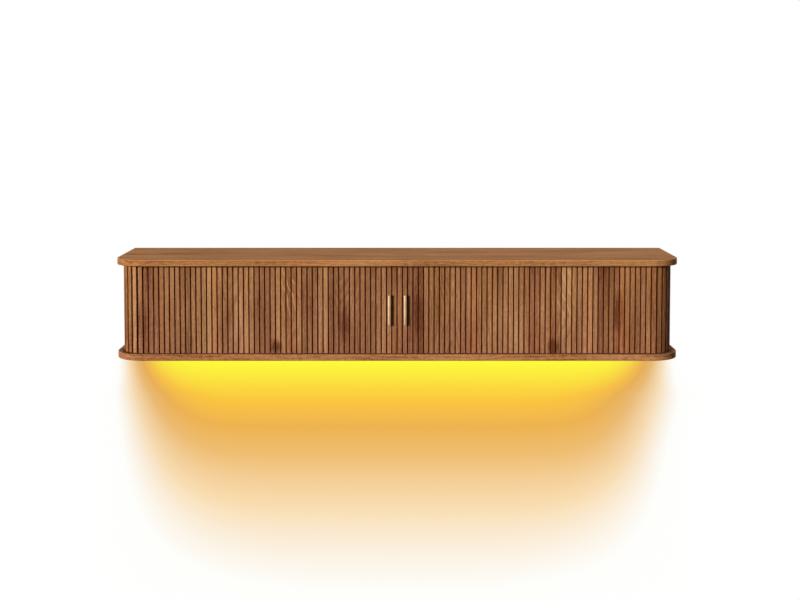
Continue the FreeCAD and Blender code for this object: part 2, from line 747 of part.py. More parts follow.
def inner_back():
    """Thin back of the bays, its upper and lower edges in the boards' grooves."""
    body = new_node("inner_back_panel")
    face = Drawing(body, "face", "XZ", "Layout.inner_rear_y").rectangle(
        "-Layout.inner_half_width",
        "Layout.inner_half_width",
        "Layout.floor_z - Layout.inner_reach",
        "Layout.ceiling_z + Layout.inner_reach",
    )
    pad(body, "panel", face, "Sizes.inner_back_thickness", -1)
    ports = [(x, "Layout.port_z") for x in PORTS.values()]
    drill(
        body, "port_holes", "XZ", "Layout.inner_rear_y", ports, "Layout.port_hole",
        "Sizes.inner_back_thickness", -1,
    )
    screws = [("0", z) for z in BACK_SCREW_Z]
    drill(
        body, "screw_holes", "XZ", "Layout.inner_rear_y", screws, "Sizes.back_screw_diameter",
        "Sizes.inner_back_thickness", -1,
    )
    drill(
        body, "screw_seats", "XZ", "Layout.inner_rear_y", screws, "Sizes.back_screw_head",
        "Sizes.back_screw_head_height", -1,
    )


def outer_back():
    """Back that carries the console on its rail."""
    body = new_node("outer_back_panel")
    face = Drawing(body, "face", "XZ", "Layout.back_rear_y").rectangle(
        "-Layout.back_half_width", "Layout.back_half_width", "Layout.floor_z",
        "Layout.ceiling_z",
    )
    pad(body, "panel", face, "Sizes.outer_back_thickness", -1)
    end_holes(body, [(x, "Layout.back_middle_y") for x in BACK_FIXING_X], [])
    ports = [(x, "Layout.port_z") for x in PORTS.values()]
    drill(
        body, "port_holes", "XZ", "Layout.back_rear_y", ports, "Layout.port_hole",
        "Sizes.outer_back_thickness", -1,
    )
    drill(
        body, "inlet_hole", "XZ", "Layout.back_rear_y", [("0", "Layout.power_middle_z")],
        "Sizes.inlet_diameter", "Sizes.outer_back_thickness", -1,
    )
    drill(
        body, "rail_screw_holes", "XZ", "Layout.back_rear_y",
        [(x, "Layout.rail_screw_z") for x in rail_screw_xs()], "Sizes.rail_screw_diameter",
        "Sizes.rail_screw_length - Sizes.rail_gauge", -1,
    )
    drill(
        body, "power_screw_holes", "XZ", "Layout.back_front_y", power_screw_spots(),
        "Sizes.power_screw_diameter", "Sizes.power_screw_length - Sizes.power_ear_thickness", 1,
    )


def rear_post(side):
    """Solid post in the square rear corner, hollowed along the tambour's rear turn."""
    sign = SIDES[side]
    body = new_node(f"{side}_rear_post")
    inner_x = signed(sign, "Layout.back_half_width")
    outer_x = signed(sign, "Layout.face_x")
    arc = ("Layout.post_guard", signed(sign, "Layout.rear_x"), "Layout.rear_y")
    plan = Drawing(body, "plan", "XY", "Layout.floor_z").outline(
        [
            (inner_x, "Layout.post_inner_y", arc),
            (outer_x, "Layout.post_front_y", None),
            (outer_x, "0", None),
            (inner_x, "0", None),
        ]
    )
    pad(body, "post", plan, "Layout.ceiling_z - Layout.floor_z")
    end_holes(body, [(signed(sign, "Layout.post_fixing_x"), "Layout.back_middle_y")], [])


def shelf(side):
    """Loose shelf on four pins, notched at the rear for cables."""
    sign = SIDES[side]
    body = new_node(f"{side}_shelf")
    ends = sorted(
        (signed(sign, "Layout.shelf_inner_x"), signed(sign, "Layout.shelf_outer_x")), key=number
    )
    middle = signed(sign, "Layout.shelf_middle_x")
    plan = Drawing(body, "plan", "XY", "Layout.shelf_foot_z").rectangle(
        *ends, "Layout.shelf_front_y", "Layout.shelf_rear_y"
    )
    slab = pad(body, "slab", plan, "Sizes.shelf_thickness")

    def on_front(edge):
        box = edge.BoundBox
        return box.YMax < number("Layout.shelf_front_y") + 0.01 and box.ZLength < 0.01

    round_edges(body, slab, "soft_edges", "Sizes.shelf_edge_round", on_front)
    notch = Drawing(body, "notch_plan", "XY", "Layout.shelf_foot_z").rectangle(
        f"{middle} - Sizes.shelf_notch_width / 2",
        f"{middle} + Sizes.shelf_notch_width / 2",
        "Layout.shelf_rear_y - Sizes.shelf_notch_depth",
        "Layout.shelf_rear_y",
    )
    cut(body, "cable_notch", notch, "Sizes.shelf_thickness", 1)


def power_screw_spots():
    """Screws of the power box, one above each end of it."""
    z = "Layout.power_top_z + Sizes.power_ear_height / 2"
    return [(signed(sign, "Layout.power_ear_x"), z) for sign in (-1, 1)]


for side_name in SIDES:
    side_panel(side_name)
center_divider()
inner_back()
outer_back()
for side_name in SIDES:
    rear_post(side_name)
for side_name in SIDES:
    shelf(side_name)

# ---------------------------------------------------------------- joinery and pins


def screw_master(name, length):
    """One screw, its head under the origin and its shank standing up."""
    body = new_body(name)
    head_foot = f"-Sizes.{name}_head_height"
    head_edge = f"Sizes.{name}_head / 2"
    shank_edge = f"Sizes.{name}_diameter / 2"
    revolve(
        body,
        "screw",
        "XZ",
        [
            ("0", head_foot),
            (head_edge, head_foot),
            (head_edge, "0"),
            (shank_edge, "0"),
            (shank_edge, length),
            ("0", length),
        ],
    )
    return body


def dowel_master():
    """Wooden dowel about the origin."""
    body = new_body("dowel")
    drawing = Drawing(body, "section", "XY", "-Layout.dowel_reach")
    pad(body, "rod", drawing.circles([("0", "0")], "Sizes.fixing_diameter"), "Sizes.dowel_length")
    return body


def bolt_master():
    """Cam bolt: thread above the origin, shank and head below it."""
    body = new_body("cam_bolt")
    head_z = "-Sizes.cam_inset - Sizes.bolt_head_height / 2"
    revolve(
        body,
        "bolt",
        "XZ",
        [
            ("0", head_z),
            ("Sizes.bolt_head_diameter / 2", head_z),
            ("Sizes.bolt_head_diameter / 2", f"{head_z} + Sizes.bolt_head_height"),
            ("Sizes.fixing_diameter / 2", f"{head_z} + Sizes.bolt_head_height"),
            ("Sizes.fixing_diameter / 2", "Layout.dowel_reach"),
            ("0", "Layout.dowel_reach"),
        ],
    )
    return body


def cam_master():
    """Cam disc: face at X = 0, its axis along X, open upwards for the bolt's head."""
    body = new_body("cam_disc")
    disc = Drawing(body, "section", "YZ", "0").circles(
        [("0", "0")], "Sizes.cam_diameter - 2 * Sizes.cam_fit"
    )
    pad(body, "disc", disc, "Sizes.cam_depth - Sizes.cam_fit")
    slot = Drawing(body, "slot_plan", "XY", "-Sizes.bolt_bore / 2").rectangle(
        "Sizes.cam_axis_depth - Sizes.bolt_bore / 2",
        "Sizes.cam_axis_depth + Sizes.bolt_bore / 2",
        "-Sizes.bolt_bore / 2",
        "Sizes.bolt_bore / 2",
    )
    cut(body, "slot", slot, "Sizes.cam_diameter", 1)
    return body


def pin_master():
    """Plain steel shelf pin: in its panel below the origin, under the shelf above it."""
    body = new_body("shelf_pin")
    section = Drawing(body, "section", "XY", "-Sizes.pin_depth")
    rod = section.circles([("0", "0")], "Sizes.pin_diameter")
    pad(body, "pin", rod, "Sizes.pin_depth + Sizes.pin_reach")
    return body


def pin_placements():
    """Four pins under each shelf, out of the divider and out of the side panel."""
    placements = []
    for sign in SIDES.values():
        for y in ("Layout.pin_front_y", "Layout.pin_rear_y"):
            inner = signed(sign, "Layout.divider_half")
            outer = signed(sign, "Layout.side_inner_x")
            placements.append(placed(inner, y, "Layout.pin_z", (0, 1, 0), 90 * sign))
            placements.append(placed(outer, y, "Layout.pin_z", (0, 1, 0), -90 * sign))
    return placements


def bolt_placements():
    """Bolts stand in the boards and reach into the panels."""
    return [
        placed(x, y, END_Z[name], (1, 0, 0), 0 if up > 0 else 180)
        for name, up in BOARDS.items()
        for x, y in bolt_spots()
    ]


def cam_placements():
    """Cams open towards their boards; the divider's sit in its right face."""
    faces = [("Layout.divider_half", -1)]
    faces += [(signed(sign, "Layout.side_inner_x"), sign) for sign in SIDES.values()]
    placements = []
    for x, inward in faces:
        for name, up in BOARDS.items():
            about_z = FreeCAD.Rotation(FreeCAD.Vector(0, 0, 1), 0 if inward > 0 else 180)
            about_x = FreeCAD.Rotation(FreeCAD.Vector(1, 0, 0), 0 if up > 0 else 180)
            spot = vector(x, "Layout.cam_y", CAM_Z[name])
            placements.append(FreeCAD.Placement(spot, about_z.multiply(about_x)))
    return placements


dowel = dowel_master()
bolt = bolt_master()
cam = cam_master()
pin = pin_master()
back_screw = screw_master(
    "back_screw", "Sizes.back_screw_length - Sizes.back_screw_head_height"
)
rail_screw = screw_master("rail_screw", "Sizes.rail_screw_length")
power_screw = screw_master("power_screw", "Sizes.power_screw_length")
handle_screw = screw_master(
    "handle_screw", "Layout.canvas_inner + Sizes.handle_screw_depth"
)

# ---------------------------------------------------------------- tambour


def slat(body, centre_x):
    """One slat on the front: tapered body and a tenon that stands out at both ends."""
    foot = "(Sizes.slat_pitch - Sizes.slat_joint) / 2"
    back_y = "Layout.face_y + Layout.canvas_outer"
    step_y = f"{back_y} - Sizes.slat_foot"
    section = Drawing(body, "section", "XY", "Layout.shoulder_foot_z").polygon(
        [
            (f"{centre_x} - {foot}", back_y),
            (f"{centre_x} - {foot}", step_y),
            (f"{centre_x} - Sizes.slat_face / 2", "Layout.face_y"),
            (f"{centre_x} + Sizes.slat_face / 2", "Layout.face_y"),
            (f"{centre_x} + {foot}", step_y),
            (f"{centre_x} + {foot}", back_y),
        ]
    )
    stave = pad(body, "stave", section, "Layout.shoulder_top_z - Layout.shoulder_foot_z")
    tenon_section = Drawing(body, "tenon_section", "XY", "Layout.tenon_foot_z").rectangle(
        f"{centre_x} - Sizes.tenon_width / 2",
        f"{centre_x} + Sizes.tenon_width / 2",
        "Layout.face_y + Layout.tenon_outer",
        back_y,
    )
    tenon = pad(body, "tenon", tenon_section, "Layout.tenon_top_z - Layout.tenon_foot_z")
    return [stave, tenon]


def slat_row(label, side, first, count):
    """Equal slats along the front, counted outwards from the meeting line."""
    sign = SIDES[side]
    body = new_node(label, pieces=number(count))
    centre_x = signed(sign, f"({first} + 0.5) * Sizes.slat_pitch")
    originals = slat(body, centre_x)
    repeat(body, "row", originals, "X", "Sizes.slat_pitch", count, reverse=sign < 0)
    return body


def canvas_strip(label, side, start, finish):
    """Flat canvas behind slats of the front, a hair short of the strip beside it."""
    sign = SIDES[side]
    body = new_node(label)
    hair = "Sizes.slat_joint / 2"
    ends = sorted((signed(sign, f"{start} + {hair}"), signed(sign, finish)), key=number)
    plan = Drawing(body, "plan", "XY", "Layout.canvas_foot_z").rectangle(
        *ends, "Layout.face_y + Layout.canvas_outer", "Layout.face_y + Layout.canvas_inner"
    )
    pad(body, "strip", plan, "Layout.canvas_top_z - Layout.canvas_foot_z")
    return body


def handle_post_z(up):
    """Height of the handle's upper or lower post."""
    return f"Layout.middle_z + {up} * (Sizes.handle_length / 2 - Sizes.handle_post_inset)"


def handle_spots(sign):
    """The handle's two posts, on the middle one of the lead slats."""
    x = signed(sign, "Layout.lead_end / 2")
    return [(x, handle_post_z(up)) for up in (1, -1)]


def handle(side):
    """Round bar that stands off its slat on two posts."""
    sign = SIDES[side]
    body = new_node(f"{side}_handle")
    x = signed(sign, "Layout.lead_end / 2")
    bar_y = "Layout.face_y - Sizes.handle_standoff"
    low_z = "Layout.middle_z - Sizes.handle_length / 2"
    section = Drawing(body, "bar_section", "XY", low_z)
    bar = pad(
        body, "bar", section.circles([(x, bar_y)], "Sizes.handle_diameter"),
        "Sizes.handle_length",
    )

    def on_end(edge):
        return edge.BoundBox.ZLength < 0.01

    doc.recompute()
    rims = [f"Edge{n}" for n, edge in enumerate(bar.Shape.Edges, start=1) if on_end(edge)]
    chamfer = body.newObject("PartDesign::Chamfer", "end_chamfers")
    chamfer.Base = (bar, rims)
    chamfer.setExpression("Size", "Sizes.handle_chamfer")
    posts = Drawing(body, "post_section", "XZ", "Layout.face_y").circles(
        handle_spots(sign), "Sizes.handle_post_diameter"
    )
    pad(body, "posts", posts, "Sizes.handle_standoff", -1)
    drill(
        body, "screw_holes", "XZ", "Layout.face_y", handle_spots(sign),
        "Sizes.handle_screw_diameter", "Sizes.handle_screw_depth", -1,
    )


def lead_section(side):
    """Lead slats with their canvas, bored for the handle's screws."""
    sign = SIDES[side]
    slats = slat_row(f"{side}_lead_slats", side, "0", "Sizes.lead_count")
    drill(
        slats, "screw_holes", "XZ", "Layout.face_y + Layout.canvas_outer", handle_spots(sign),
        "Sizes.handle_screw_diameter", "Sizes.slat_thickness", -1,
    )
    canvas = canvas_strip(f"{side}_lead_canvas", side, "0", "Layout.lead_end")
    drill(
        canvas, "screw_holes", "XZ", "Layout.face_y + Layout.canvas_inner", handle_spots(sign),
        "Sizes.handle_screw_diameter", "Sizes.canvas_thickness", -1,
    )
    handle(side)


def side_canvas(side):
    """Canvas from the front run round the corner, along the side and into the rear turn."""
    sign = SIDES[side]
    body = new_node(f"{side}_side_canvas")

    def stretch(depth):
        corners = guide(depth, sign)[:3]
        radius, centre_x, centre_y = corners[2][2]
        tail_x = f"Layout.rear_x + ({radius}) * cos(Layout.tail_angle)"
        tail_y = f"Layout.rear_y + ({radius}) * sin(Layout.tail_angle)"
        start = signed(sign, "Layout.run_end + Sizes.slat_joint / 2")
        return [(start, corners[0][1], None)] + corners + [(signed(sign, tail_x), tail_y, None)]

    loop = stretch("Layout.canvas_outer") + backwards(stretch("Layout.canvas_inner"))
    plan = Drawing(body, "plan", "XY", "Layout.canvas_foot_z").outline(loop)
    pad(body, "strip", plan, "Layout.canvas_top_z - Layout.canvas_foot_z")


def side_slats(side, master):
    """Slats from the front corner to the door's tail, square to the canvas."""
    first = int(number("Layout.front_count"))
    last = int(number("Layout.door_count"))
    pitch = number("Sizes.slat_pitch")
    places = [path_placement((index + 0.5) * pitch, SIDES[side]) for index in range(first, last)]
    group(f"{side}_side_slats", master, places)


def track_stops():
    """Blocks that close the tracks' rear ends in both boards."""
    body = new_node("track_stops", pieces=4)
    for name, up in BOARDS.items():
        drawing = Drawing(body, f"{name}_plan", "XY", END_Z[name])
        for sign in SIDES.values():
            ends = sorted(
                (signed(sign, "Layout.track_end_x"), signed(sign, "Layout.stop_x")), key=number
            )
            drawing.rectangle(
                *ends,
                "Layout.rear_face_y - Layout.track_inner",
                "Layout.rear_face_y - Layout.track_outer",
            )
        pad(body, f"{name}_stops", drawing, "Sizes.track_depth", up)


single_slat = new_body("slat")
slat(single_slat, "0")
for side_name in SIDES:
    lead_section(side_name)
    slat_row(f"{side_name}_run_slats", side_name, "Sizes.lead_count", "Layout.run_count")
    canvas_strip(f"{side_name}_run_canvas", side_name, "Layout.lead_end", "Layout.run_end")
    side_canvas(side_name)
track_stops()

# ---------------------------------------------------------------- cable ports


def port_sleeve(side):
    """Sleeve through both backs, its flange in front of the inner one."""
    body = new_node(f"{side}_port_sleeve")
    centre = [(PORTS[side], "Layout.port_z")]
    tube = Drawing(body, "tube_section", "XZ", "Layout.back_rear_y").circles(
        centre, "Layout.port_outer"
    )
    pad(body, "tube", tube, "Layout.back_rear_y - Layout.inner_front_y", -1)
    rim = Drawing(body, "flange_section", "XZ", "Layout.inner_front_y").circles(
        centre, "Layout.port_flange"
    )
    pad(body, "flange", rim, "Sizes.port_flange_thickness", -1)
    length = "Layout.back_rear_y - Layout.inner_front_y + Sizes.port_flange_thickness"
    drill(body, "bore", "XZ", "Layout.back_rear_y", centre, "Sizes.port_bore", length, -1)


for side_name in SIDES:
    port_sleeve(side_name)

# ---------------------------------------------------------------- wall rails


def wall_cleat():
    """Rail on the wall: flange, web and an upright hook."""
    body = new_node("wall_cleat")
    gauge = "Sizes.rail_gauge"
    section = Drawing(body, "section", "YZ", "-Sizes.rail_length / 2").polygon(
        [
            ("0", "-Sizes.wall_flange_drop"),
            ("0", "Layout.web_top_z"),
            ("-Sizes.hook_reach", "Layout.web_top_z"),
            ("-Sizes.hook_reach", "Layout.hook_top_z"),
            ("Layout.hook_y", "Layout.hook_top_z"),
            ("Layout.hook_y", "Sizes.rail_web_height"),
            (f"-{gauge}", "Sizes.rail_web_height"),
            (f"-{gauge}", "-Sizes.wall_flange_drop"),
        ]
    )
    pad(body, "rail", section, "Sizes.rail_length")
    spacings = ("Sizes.wall_hole_inner", "Sizes.wall_hole_outer")
    holes = [(f"{sign} * {spacing} / 2", "0") for spacing in spacings for sign in (-1, 1)]
    drill(body, "wall_holes", "XZ", "0", holes, "Sizes.wall_hole_diameter", gauge, -1)


def cabinet_cleat():
    """Rail on the outer back, hooked over the rail on the wall."""
    body = new_node("cabinet_cleat")
    outer_y = f"Layout.back_rear_y + Sizes.rail_gauge"
    web_z = "Layout.hook_top_z + Sizes.rail_gauge"
    section = Drawing(body, "section", "YZ", "-Sizes.rail_length / 2").polygon(
        [
            ("Layout.lip_rear_y", "Layout.lip_foot_z"),
            ("Layout.lip_rear_y", web_z),
            (outer_y, web_z),
            (outer_y, "Layout.flange_top_z"),
            ("Layout.back_rear_y", "Layout.flange_top_z"),
            ("Layout.back_rear_y", "Layout.hook_top_z"),
            ("Layout.lip_front_y", "Layout.hook_top_z"),
            ("Layout.lip_front_y", "Layout.lip_foot_z"),
        ]
    )
    pad(body, "rail", section, "Sizes.rail_length")
    drill(
        body, "screw_holes", "XZ", outer_y,
        [(x, "Layout.rail_screw_z") for x in rail_screw_xs()], "Sizes.rail_screw_diameter",
        "Sizes.rail_gauge", -1,
    )


wall_cleat()
cabinet_cleat()

# ---------------------------------------------------------------- light


def light_ys(half):
    """Both edges of a strip about the middle of the light."""
    return (f"Layout.light_y - ({half})", f"Layout.light_y + ({half})")


def light_bar(label, x_half, y_half, low_z, height):
    """Straight bar of the light's length, on the middle of its channel."""
    body = new_node(label)
    plan = Drawing(body, "plan", "XY", low_z).rectangle(f"-({x_half})", x_half, *light_ys(y_half))
    pad(body, "bar", plan, height)
    return body


def light_channel():
    """Aluminium channel with two wings flush with the board's underside."""
    body = new_node("led_channel")
    corners = [
        ("-Layout.wing_half", "Layout.base_z"),
        ("-Layout.channel_mouth", "Layout.base_z"),
        ("-Layout.channel_mouth", "Layout.channel_roof_z"),
        ("Layout.channel_mouth", "Layout.channel_roof_z"),
        ("Layout.channel_mouth", "Layout.base_z"),
        ("Layout.wing_half", "Layout.base_z"),
        ("Layout.wing_half", "Layout.wing_top_z"),
        ("Layout.channel_half", "Layout.wing_top_z"),
        ("Layout.channel_half", "Layout.channel_top_z"),
        ("-Layout.channel_half", "Layout.channel_top_z"),
        ("-Layout.channel_half", "Layout.wing_top_z"),
        ("-Layout.wing_half", "Layout.wing_top_z"),
    ]
    section = Drawing(body, "section", "YZ", "-Layout.light_half").polygon(
        [(f"Layout.light_y + {y}", z) for y, z in corners]
    )
    pad(body, "channel", section, "Sizes.light_length")
    drill(
        body, "lead_hole", "XY", "Layout.channel_top_z", [("0", "Layout.feed_y")],
        "Sizes.lead_hole", "Sizes.channel_wall", -1,
    )


def light_caps():
    """Plate over each end of the channel."""
    body = new_node("led_end_caps", pieces=2)
    low, high = light_ys("Layout.channel_half")
    starts = {"left": "-Layout.light_half - Sizes.channel_cap", "right": "Layout.light_half"}
    for name, start in starts.items():
        face = Drawing(body, f"{name}_face", "YZ", start).rectangle(
            low, high, "Layout.base_z", "Layout.channel_top_z"
        )
        pad(body, f"{name}_cap", face, "Sizes.channel_cap")


def light_chips():
    """Row of chips under the tape."""
    body = new_node("led_chips", pieces=2)
    top_z = "Layout.channel_roof_z - Sizes.tape_thickness"
    plan = Drawing(body, "plan", "XY", top_z).rectangle(
        "Layout.chip_start_x", "Layout.chip_start_x + Sizes.chip_length",
        *light_ys("Sizes.chip_width / 2"),
    )
    chip = pad(body, "chip", plan, "Sizes.chip_height", -1)
    repeat(body, "row", [chip], "X", "Sizes.chip_pitch", "Layout.chip_count")


def power_box():
    """Housing of the light's supply, on the front of the outer back, with two ears."""
    body = new_node("led_power_box")
    plan = Drawing(body, "plan", "XY", "Layout.power_foot_z").rectangle(
        "-Layout.power_half", "Layout.power_half", "Layout.power_front_y", "Layout.back_front_y"
    )
    box = pad(body, "housing", plan, "Sizes.power_box_height")

    def on_front_corner(edge):
        bounds = edge.BoundBox
        return bounds.ZLength > 1 and bounds.YMax < number("Layout.back_front_y") - 1

    round_edges(body, box, "soft_corners", "Sizes.power_box_round", on_front_corner)
    ears = Drawing(body, "ears_face", "XZ", "Layout.back_front_y")
    for sign in (-1, 1):
        middle = signed(sign, "Layout.power_ear_x")
        ears.rectangle(
            f"{middle} - Sizes.power_ear_width / 2",
            f"{middle} + Sizes.power_ear_width / 2",
            "Layout.power_top_z",
            "Layout.power_top_z + Sizes.power_ear_height",
        )
    pad(body, "ears", ears, "Sizes.power_ear_thickness", -1)
    drill(
        body, "screw_holes", "XZ", "Layout.back_front_y", power_screw_spots(),
        "Sizes.power_screw_diameter", "Sizes.power_ear_thickness", -1,
    )


def inlet_master():
    """Power inlet: flange at the origin, barrel below it, open at the top."""
    body = new_body("inlet")
    floor = "-Sizes.outer_back_thickness"
    bottom = "Sizes.inlet_flange_thickness - Sizes.inlet_bore_depth"
    top = "Sizes.inlet_flange_thickness"
    revolve(
        body,
        "barrel",
        "XZ",
        [
            ("0", floor),
            ("Sizes.inlet_diameter / 2", floor),
            ("Sizes.inlet_diameter / 2", "0"),
            ("Sizes.inlet_flange / 2", "0"),
            ("Sizes.inlet_flange / 2", top),
            ("Sizes.inlet_bore / 2", top),
            ("Sizes.inlet_bore / 2", bottom),
            ("Sizes.inlet_pin / 2", bottom),
            ("Sizes.inlet_pin / 2", "0"),
            ("0", "0"),
        ],
    )
    return body


def feed_lead():
    """Straight lead from the power box down through the board into the channel."""
    body = new_node("led_feed_lead")
    section = Drawing(body, "section", "XY", "Layout.channel_roof_z").circles(
        [("0", "Layout.feed_y")], "Sizes.lead_diameter"
    )
    pad(body, "lead", section, "Layout.power_foot_z - Layout.channel_roof_z")


light_channel()
light_bar(
    "led_tape", "Layout.light_half", "Sizes.tape_width / 2",
    "Layout.channel_roof_z - Sizes.tape_thickness", "Sizes.tape_thickness",
)
light_chips()
light_bar(
    "led_diffuser", "Layout.light_half", "Layout.channel_mouth - Sizes.diffuser_fit",
    "Layout.base_z", "Sizes.diffuser_thickness",
)
light_caps()
power_box()
feed_lead()
inlet = inlet_master()

# ---------------------------------------------------------------- groups of copies

doc.recompute()
for side_name in SIDES:
    side_slats(side_name, single_slat)
group(
    "dowels",
    dowel,
    [placed(x, y, z) for z in END_Z.values() for x, y in dowel_spots()],
)
group("cam_bolts", bolt, bolt_placements())
group("cam_discs", cam, cam_placements())
group("shelf_pins", pin, pin_placements())
TO_FRONT = {"axis": (1, 0, 0), "angle": 90}
TO_WALL = {"axis": (1, 0, 0), "angle": -90}
seat_y = "Layout.inner_rear_y - Sizes.back_screw_head_height"
group(
    "inner_back_screws", back_screw, [placed("0", seat_y, z, **TO_FRONT) for z in BACK_SCREW_Z]
)
rail_face_y = "Layout.back_rear_y + Sizes.rail_gauge"
group(
    "cleat_screws",
    rail_screw,
    [placed(x, rail_face_y, "Layout.rail_screw_z", **TO_FRONT) for x in rail_screw_xs()],
)
ear_face_y = "Layout.back_front_y - Sizes.power_ear_thickness"
group(
    "power_box_screws",
    power_screw,
    [placed(x, ear_face_y, z, **TO_WALL) for x, z in power_screw_spots()],
)
group(
    "dc_inlet", inlet, [placed("0", "Layout.back_rear_y", "Layout.power_middle_z", **TO_WALL)]
)

handle_head_y = "Layout.face_y + Layout.canvas_inner"
for side_name, side_sign in SIDES.items():
    group(
        f"{side_name}_handle_screws",
        handle_screw,
        [placed(x, handle_head_y, z, **TO_FRONT) for x, z in handle_spots(side_sign)],
    )

# ---------------------------------------------------------------- checks and files


def check_document():
    """Stop if anything in the document failed or a cut took nothing away."""
    for item in doc.Objects:
        if {"Invalid", "Error"} & set(item.State):
            raise RuntimeError(f"{item.Label} failed: {item.State}")
    for item in cuts:
        before = item.BaseFeature.Shape.Volume
        if item.Shape.Volume > before - 0.1:
            raise RuntimeError(f"{item.Label} of {item.getParent().Label} cuts nothing")
    for item in nodes:
        if item.Shape.isNull() or not item.Shape.isValid():
            raise RuntimeError(f"{item.Label} has no valid shape")


def write_files():
    """Write one STEP file per sub-part."""
    os.makedirs("parts", exist_ok=True)
    for item in nodes:
        item.Shape.exportStep(os.path.join("parts", item.Label + ".step"))


doc.recompute()
check_document()
write_files()
print(f"{len(nodes)} sub-parts, {sum(len(item.Shape.Solids) for item in nodes)} solids")
print(f"travel of each door {number('Layout.travel'):.1f} mm")
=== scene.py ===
"""Looks of the floating media console: walnut boards, tambour slats, brass pulls and a warm light strip."""

import json
import math
import random

import bmesh
import bpy
from mathutils import Matrix, Vector


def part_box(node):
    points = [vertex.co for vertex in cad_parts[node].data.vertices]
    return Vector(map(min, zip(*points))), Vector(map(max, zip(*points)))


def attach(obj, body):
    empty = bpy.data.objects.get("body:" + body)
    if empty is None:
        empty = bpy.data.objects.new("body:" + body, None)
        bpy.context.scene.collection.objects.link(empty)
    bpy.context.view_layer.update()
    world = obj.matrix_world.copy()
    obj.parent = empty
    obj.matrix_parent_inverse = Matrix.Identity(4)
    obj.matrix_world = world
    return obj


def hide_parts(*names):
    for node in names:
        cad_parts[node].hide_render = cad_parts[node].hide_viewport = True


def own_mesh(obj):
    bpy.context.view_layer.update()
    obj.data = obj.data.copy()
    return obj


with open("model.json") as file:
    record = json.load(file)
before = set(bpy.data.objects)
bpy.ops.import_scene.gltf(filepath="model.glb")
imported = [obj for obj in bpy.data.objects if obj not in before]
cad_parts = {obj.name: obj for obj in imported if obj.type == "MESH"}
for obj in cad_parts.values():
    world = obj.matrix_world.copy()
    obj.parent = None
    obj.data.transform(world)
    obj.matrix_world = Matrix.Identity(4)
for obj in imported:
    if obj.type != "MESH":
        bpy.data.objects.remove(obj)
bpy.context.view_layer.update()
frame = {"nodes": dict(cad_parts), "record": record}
NODES = frame["nodes"]

MM = 0.001
SIDES = {"left": -1, "right": 1}

# ---------------------------------------------------------------- sizes, from the frame where it has them

TOP_LOW, TOP_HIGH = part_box("top_panel")
BASE_LOW, BASE_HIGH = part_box("bottom_panel")
SLAT_LOW, SLAT_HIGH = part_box("right_run_slats")
CANVAS_LOW, CANVAS_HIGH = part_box("right_run_canvas")
HALF_WIDTH = TOP_HIGH.x
DEPTH = -TOP_LOW.y
CORNER_RADIUS = 90 * MM
EDGE_ROUND = 1.5 * MM
LEDGE = 20 * MM

PITCH = 16.8 * MM
SLAT_BASE = 16.4 * MM
SLAT_FACE = 12.4 * MM
SLAT_DEPTH = 9 * MM
SLAT_FOOT = 2 * MM
SHOULDER_GAP = 0.8 * MM
TENON_WIDTH = 12 * MM
TENON_DEPTH = 5 * MM
CANVAS_DEPTH = 0.8 * MM
LEAD_COUNT = 3
FRONT_COUNT = 48
DOOR_COUNT = 66
TRACK_DEPTH = 8 * MM
TRACK_OUTER = 3.4 * MM
TRACK_INNER = 9.6 * MM
TRACK_END_X = 113 * MM
BACK_SLOT = 5 * MM
PLAY = 0.2 * MM
SPARE = 1 * MM

FACE_X = HALF_WIDTH - LEDGE
FACE_Y = -(DEPTH - LEDGE)
FRONT_X = HALF_WIDTH - CORNER_RADIUS
FRONT_Y = -(DEPTH - CORNER_RADIUS)
FACE_RADIUS = CORNER_RADIUS - LEDGE
REAR_RADIUS = 45 * MM
REAR_X = FACE_X - REAR_RADIUS
REAR_Y = -72.5 * MM
MIDDLE = SLAT_DEPTH + CANVAS_DEPTH / 2

TOP_Z = TOP_HIGH.z
CEILING_Z = TOP_LOW.z
FLOOR_Z = BASE_HIGH.z
BOTTOM_Z = BASE_LOW.z

SHARP = math.radians(40)
FLAT_WEIGHT = 60
ARC_STEPS = 24
WELD = 0.001 * MM


# ---------------------------------------------------------------- mesh helpers


def mesh_object(name, verts, faces):
    """Smooth-shaded mesh object with its sharp edges marked by angle."""
    mesh = bpy.data.meshes.new(name)
    mesh.from_pydata([tuple(v) for v in verts], [], faces)
    mesh.validate()
    return finish_mesh(bpy.data.objects.new(name, mesh))


def finish_mesh(obj):
    """Links the object, turns its faces outwards and sets its shading."""
    if obj.name not in bpy.context.scene.collection.objects:
        bpy.context.scene.collection.objects.link(obj)
    mesh = obj.data
    work = bmesh.new()
    work.from_mesh(mesh)
    bmesh.ops.recalc_face_normals(work, faces=work.faces)
    work.to_mesh(mesh)
    work.free()
    mesh.shade_smooth()
    mesh.set_sharp_from_angle(angle=SHARP)
    return obj


def weighted(obj):
    """Keeps large flat faces flat beside small roundings."""
    modifier = obj.modifiers.new("flat_faces", "WEIGHTED_NORMAL")
    modifier.keep_sharp = True
    modifier.weight = FLAT_WEIGHT
    return obj


def carve(obj, cutters, operation="DIFFERENCE"):
    """Cuts or joins other objects into obj and applies the result."""
    for cutter in cutters:
        modifier = obj.modifiers.new("carve", "BOOLEAN")
        modifier.object = cutter
        modifier.operation = operation
        modifier.solver = "EXACT"
    graph = bpy.context.evaluated_depsgraph_get()
    mesh = bpy.data.meshes.new_from_object(obj.evaluated_get(graph))
    obj.modifiers.clear()
    obj.data = mesh
    for cutter in cutters:
        bpy.data.objects.remove(cutter)
    work = bmesh.new()
    work.from_mesh(mesh)
    bmesh.ops.remove_doubles(work, verts=work.verts, dist=WELD)
    bmesh.ops.dissolve_degenerate(work, edges=work.edges, dist=WELD)
    work.to_mesh(mesh)
    work.free()
    return finish_mesh(obj)


